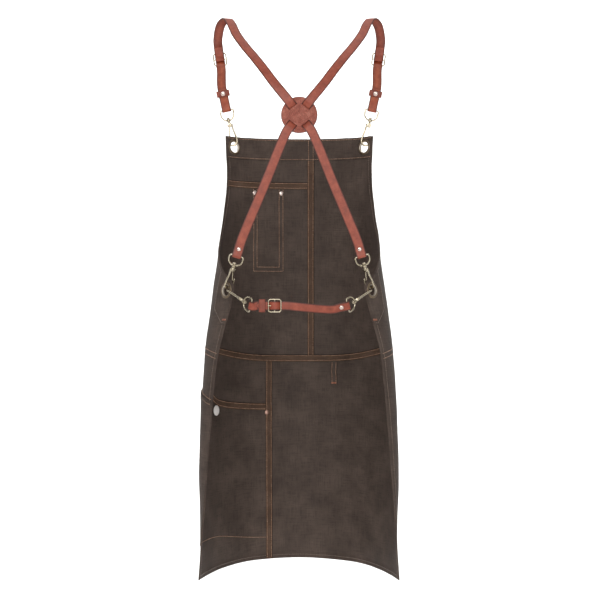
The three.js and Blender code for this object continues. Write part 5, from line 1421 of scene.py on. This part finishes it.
# Keepers and strap rivets. A keeper is a band of the same leather closed round the layers of a strap; the front ones
# are rivetted through, and each turned end has a rivet near its loop.
KEEPER_WIDTH, KEEPER_WALL, KEEPER_ROOM, KEEPER_LIFT, KEEPER_CORNER = 12, 1.8, 2, 0.8, 1.5
DOUBLED = PITCH / 2 + LEATHER / 2 + 0.25
# Section of the band, as shares of half its wall and half its width, and how much each corner is burnished
BAND_SECTION = [(1, -0.88), (1, 0.88), (0.55, 1), (-0.55, 1), (-1, 0.88), (-1, -0.88), (-0.55, -1), (0.55, -1)]
BAND_BURNISH = [0.3, 0.3, 1, 1, 0.3, 0.3, 1, 1]


def round_corners(half_x, half_y, radius, count):
    """The four corners of a rounded oblong, each as points with the way that they face."""
    corners = []
    for x, y, start in ((1, 1, 0), (-1, 1, 90), (-1, -1, 180), (1, -1, 270)):
        at_x, at_y = x * (half_x - radius), y * (half_y - radius)
        ways = [(math.cos(turn), math.sin(turn)) for turn in np.radians(np.linspace(start, start + 90, count))]
        corners.append([(at_x + radius * c, at_y + radius * s, c, s) for c, s in ways])
    return corners


def keeper(name, node, width, low, high, at, matrix):
    half_x = width / 2 + KEEPER_ROOM + KEEPER_WALL / 2
    half_y = (high - low) / 2 + KEEPER_LIFT + KEEPER_WALL / 2
    outline = []
    for number, corner in enumerate(round_corners(half_x, half_y, KEEPER_CORNER, 7)):
        outline += corner
        if number % 2 == 0:
            outline += [(corner[-1][0] * share, *corner[-1][1:]) for share in (0.5, -0.5)]
    points, edge = [], []
    for x, y, nx, ny in outline:
        for (off, along), burnish in zip(BAND_SECTION, BAND_BURNISH):
            out = off * (KEEPER_WALL / 2)
            points.append((x + nx * out, y + ny * out + (low + high) / 2, at + along * (KEEPER_WIDTH / 2)))
            edge.append(burnish)
    faces = [(a, d, c, b) for a, b, c, d in skin(len(outline), len(BAND_SECTION), closed=True)]
    made = set_mesh(name, points, faces, strap_hide, matrix=matrix, edge=edge)
    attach(made, "apron")
    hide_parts(node)


def strap_rivet(name, node, low, high, at, matrix):
    part = moved(turned(rivet_profile(low, high)), shifted(0, 0, at) @ turn_x(-90))
    fitting(name, node, [part], rose, matrix)


FRONT_KEEPER, LOWER_RIVET = 33, 13
for side_name in SIDES:
    front = bars[f"front_{side_name}"]
    keeper(f"keeper_band_{side_name}", f"keeper_{side_name}", STRAP_WIDTH, -DOUBLED, DOUBLED, FRONT_KEEPER, front)
    reach = DOUBLED + KEEPER_LIFT + KEEPER_WALL
    strap_rivet(f"keeper_stud_{side_name}", f"rivet_keeper_{side_name}", -reach, reach, FRONT_KEEPER, front)
    lower = bars[f"lower_{side_name}"]
    strap_rivet(f"strap_stud_{side_name}", f"rivet_lower_{side_name}", -DOUBLED, DOUBLED, LOWER_RIVET, lower)
strap_rivet("strap_stud_waist", "rivet_waist", -DOUBLED, DOUBLED, WAIST_RIVET, right_frame)
stack_low = -LAYER - 2 * PITCH - LEATHER / 2 - 0.2
stack_high = -LAYER + LEATHER / 2
keeper("keeper_band_waist", "keeper_waist", WAIST_STRAP_WIDTH, stack_low, stack_high, WAIST_KEEPER, waist_buckle)

# Buckles. Cast zinc with the hooks' nickel plate: a rounded frame, a middle bar and a prong that lies on the frame.
FRAME_ROOM, FRAME_CORNER = 2, 3.6
MIDDLE_BAR, PRONG_THICK = 1.2, 0.85  # half thicknesses
PRONG_RISE, PRONG_ARCH = (0.2, 1.9), 0.25  # its start and its rise to the frame's face, and how it arches


def buckle(name, node, width, matrix):
    half_x = width / 2 + FRAME_ROOM + FRAME_WIRE / 2
    half_z = FRAME_LENGTH - FRAME_WIRE / 2
    path = [(x, 0, z) for corner in round_corners(half_x, half_z, FRAME_CORNER, 9) for x, z, *_ in corner]
    wire, thick = np.full(len(path), FRAME_WIRE / 2), np.full(len(path), FRAME_THICK / 2)
    bar_way = np.array([(x, 0, 0) for x in np.linspace(-half_x, half_x, 8)])
    bar_wire = np.full(len(bar_way), MIDDLE_BAR)
    steps = np.linspace(0, 1, 20)
    rise = PRONG_RISE[0] + PRONG_RISE[1] * steps + PRONG_ARCH * np.sin(np.pi * steps)
    prong_way = np.stack([0 * steps, rise, FRAME_LENGTH * steps], -1)
    prong_width = np.interp(steps, [0, 0.7, 1], [1.15, 1.05, 0.8])
    parts = [
        swept(path, SIDEWAYS, wire, thick, 16, closed=True),
        swept(bar_way, SIDEWAYS, bar_wire, bar_wire),
        swept(prong_way, np.array([1.0, 0, 0]), np.full(len(steps), PRONG_THICK), prong_width),
    ]
    fitting(name, node, parts, nickel, matrix, voxel=0.3)


for side_name in SIDES:
    buckle(f"buckle_frame_{side_name}", f"buckle_{side_name}", STRAP_WIDTH, buckles[side_name])
buckle("buckle_frame_waist", "buckle_waist", WAIST_STRAP_WIDTH, waist_buckle)

# Back patch. A round of thick pebbled cowhide, slightly domed, with four slots that the crossing straps dive through.
PEBBLE = 2.4  # mm across a pebble of the grain
pebbled_hide = cowhide("pebbled_patch_hide", "#984b3a", "#b3624f", "#cc7e69", PEBBLE)
PATCH_MESH = 0.95
SLOT_HALF_LONG, SLOT_HALF_OPEN = STRAP_WIDTH / 2 + 0.6, SLOT_OPENING / 2
DOME_HEIGHT, DOME_REACH, PEBBLE_HEIGHT = 1.2, 25, 0.55
RIM_FALL, RIM_WIDTH, BURNISH_WIDTH = 0.5, 2.2, 1.2
angles = np.linspace(0, 2 * math.pi, 110, endpoint=False)
outlines = [[(PATCH_RADIUS * math.cos(a), PATCH_RADIUS * math.sin(a)) for a in angles]]
CORNERS = [(1, 1), (1, -1), (-1, -1), (-1, 1)]
for sign in (-1, 1):
    along = np.array([sign * LEAN_SIN, LEAN_COS])
    across = np.array([along[1], -along[0]])
    for end in (1, -1):
        edge_points = []
        for (u, v), (u2, v2) in zip(CORNERS, CORNERS[1:] + CORNERS[:1]):
            for t in np.linspace(0, 1, 8, endpoint=False):
                long_way = across * SLOT_HALF_LONG * (u + (u2 - u) * t)
                open_way = along * (end * SLOT_RADIUS + SLOT_HALF_OPEN * (v + (v2 - v) * t))
                edge_points.append(tuple(long_way + open_way))
        outlines.append(edge_points)
flat_points, flat_edges = [], []
for outline in outlines:
    start = len(flat_points)
    flat_points += [Vector(p) for p in outline]
    flat_edges += [(start + k, start + (k + 1) % len(outline)) for k in range(len(outline))]


def in_slot(x, z, room=0.0):
    for sign in (-1, 1):
        reach, off = abs(x * sign * LEAN_SIN + z * LEAN_COS), abs(x * LEAN_COS - z * sign * LEAN_SIN)
        if abs(reach - SLOT_RADIUS) < SLOT_HALF_OPEN + room and off < SLOT_HALF_LONG + room:
            return True
    return False


for row, z in enumerate(np.arange(-PATCH_RADIUS, PATCH_RADIUS, PATCH_MESH)):
    for x in np.arange(-PATCH_RADIUS, PATCH_RADIUS, PATCH_MESH) + (row % 2) * PATCH_MESH / 2:
        if math.hypot(x, z) < PATCH_RADIUS - 0.5 and not in_slot(x, z, 0.35):
            flat_points.append(Vector((x, z)))
found, _, triangles, *_ = mathutils.geometry.delaunay_2d_cdt(flat_points, flat_edges, [], 0, 1e-4)
found = np.array([tuple(p) for p in found])
centres = found[np.array(triangles)].mean(1)
kept = [t for t, (x, z) in zip(triangles, centres) if math.hypot(x, z) < PATCH_RADIUS and not in_slot(x, z)]
radius = np.hypot(found[:, 0], found[:, 1])
dome = DOME_HEIGHT * np.clip(1 - (radius / DOME_REACH) ** 2, 0, 1)
pebbles = np.array([mathutils.noise.voronoi(Vector((x / PEBBLE, z / PEBBLE, 3.1)))[0][0] for x, z in found])
grain_height = PEBBLE_HEIGHT * (0.55 - np.clip(pebbles, 0, 1))
rim_fall = RIM_FALL * np.clip((radius - PATCH_RADIUS + RIM_WIDTH) / RIM_WIDTH, 0, 1) ** 2
near, far = -PATCH_THICK / 2 - dome - grain_height + rim_fall, PATCH_THICK / 2 - dome
near_points = np.stack([found[:, 0], near, found[:, 1]], -1)
far_points = np.stack([found[:, 0], far, found[:, 1]], -1)
points, faces, source, share = shell(far_points, near_points, kept, 0.3)
rim_burn = np.where((share > 0.02) & (share < 0.98), 1.0, 0.0)
near_rim = np.clip((radius[source] - PATCH_RADIUS + BURNISH_WIDTH) / BURNISH_WIDTH, 0, 1)
rim_burn = np.maximum(rim_burn, 0.5 * near_rim)
patch_frame = frame_of(patch_at, [1, 0, 0], [0, 1, 0], [0, 0, 1])
patch = set_mesh("patch_round", points, faces, pebbled_hide, matrix=patch_frame, edge=rim_burn)
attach(patch, "apron")
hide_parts("back_patch")

# The room. A pale seamless sweep of paper under and behind the apron, soft lamps behind the camera, above the apron
# and over the sweep, and the camera level with the waist, 2.9 m behind the wearer's place. It is measured in metres.
FLOOR = -1.37
SWEEP_START, SWEEP_TURN, SWEEP_RADIUS, SWEEP_TOP, SWEEP_HALF = -3.6, 2.6, 0.9, 4.8, 5
room = bpy.data.meshes.new("sweep")
side_line = [(SWEEP_START, 0), (SWEEP_TURN, 0)]
for angle in np.linspace(0.1, math.pi / 2, 14):
    side_line.append((SWEEP_TURN + SWEEP_RADIUS * math.sin(angle), SWEEP_RADIUS * (1 - math.cos(angle))))
side_line.append((SWEEP_TURN + SWEEP_RADIUS, SWEEP_TOP))
points = [(x, y, FLOOR + z) for y, z in side_line for x in (-SWEEP_HALF, SWEEP_HALF)]
room.from_pydata(points, [], [(2 * k, 2 * k + 1, 2 * k + 3, 2 * k + 2) for k in range(len(side_line) - 1)])
room.shade_smooth()
paper, tree, shader = finish("white_paper_sweep", {"Roughness": 0.9, "Specular IOR Level": 0.2})
grain = add(tree, "ShaderNodeTexNoise", {"Scale": 40.0})
feed(tree, shader, Base_Color=ramp(tree, grain.outputs["Fac"], [(0.3, "#f4f4f3"), (0.7, "#f8f8f7")]))
room.materials.append(paper)
sweep_object = bpy.data.objects.new("sweep", room)
bpy.context.scene.collection.objects.link(sweep_object)

world = bpy.data.worlds.new("studio")
bpy.context.scene.world = world
world.use_nodes = True
background = world.node_tree.nodes["Background"]
background.inputs["Color"].default_value = linear("#fbfbfd")
background.inputs["Strength"].default_value = 0.42
MID_APRON, SWEEP_WALL = (0, 0, -0.5), (0, 3.5, -0.7)
# Place, what it is aimed at, size and watts of each lamp
LAMPS = {
    "key": ((-0.8, -2.9, 0.9), MID_APRON, 1.5, 36),
    "fill": ((0.8, -3.0, -0.1), MID_APRON, 1.8, 17),
    "top": ((0.2, 0.3, 1.9), MID_APRON, 1.5, 9),
    "back": ((0, 2.3, 1.5), SWEEP_WALL, 2.8, 110),
}
for name, (place, target, size, watts) in LAMPS.items():
    lamp = bpy.data.lights.new(name, "AREA")
    lamp.size = size
    lamp.energy = watts
    lamp_object = bpy.data.objects.new(name, lamp)
    lamp_object.location = place
    lamp_object.visible_camera = False
    lamp_object.rotation_euler = (Vector(target) - Vector(place)).to_track_quat("-Z", "Y").to_euler()
    bpy.context.scene.collection.objects.link(lamp_object)
bpy.context.scene.view_settings.view_transform = "Standard"

lens = bpy.data.cameras.new("camera")
lens.lens = 90
lens.sensor_width = 36
camera = bpy.data.objects.new("camera", lens)
camera.location = (0.0014, -2.885, -0.537)
camera.rotation_euler = (math.pi / 2, 0, 0)
bpy.context.scene.collection.objects.link(camera)
bpy.context.scene.camera = camera
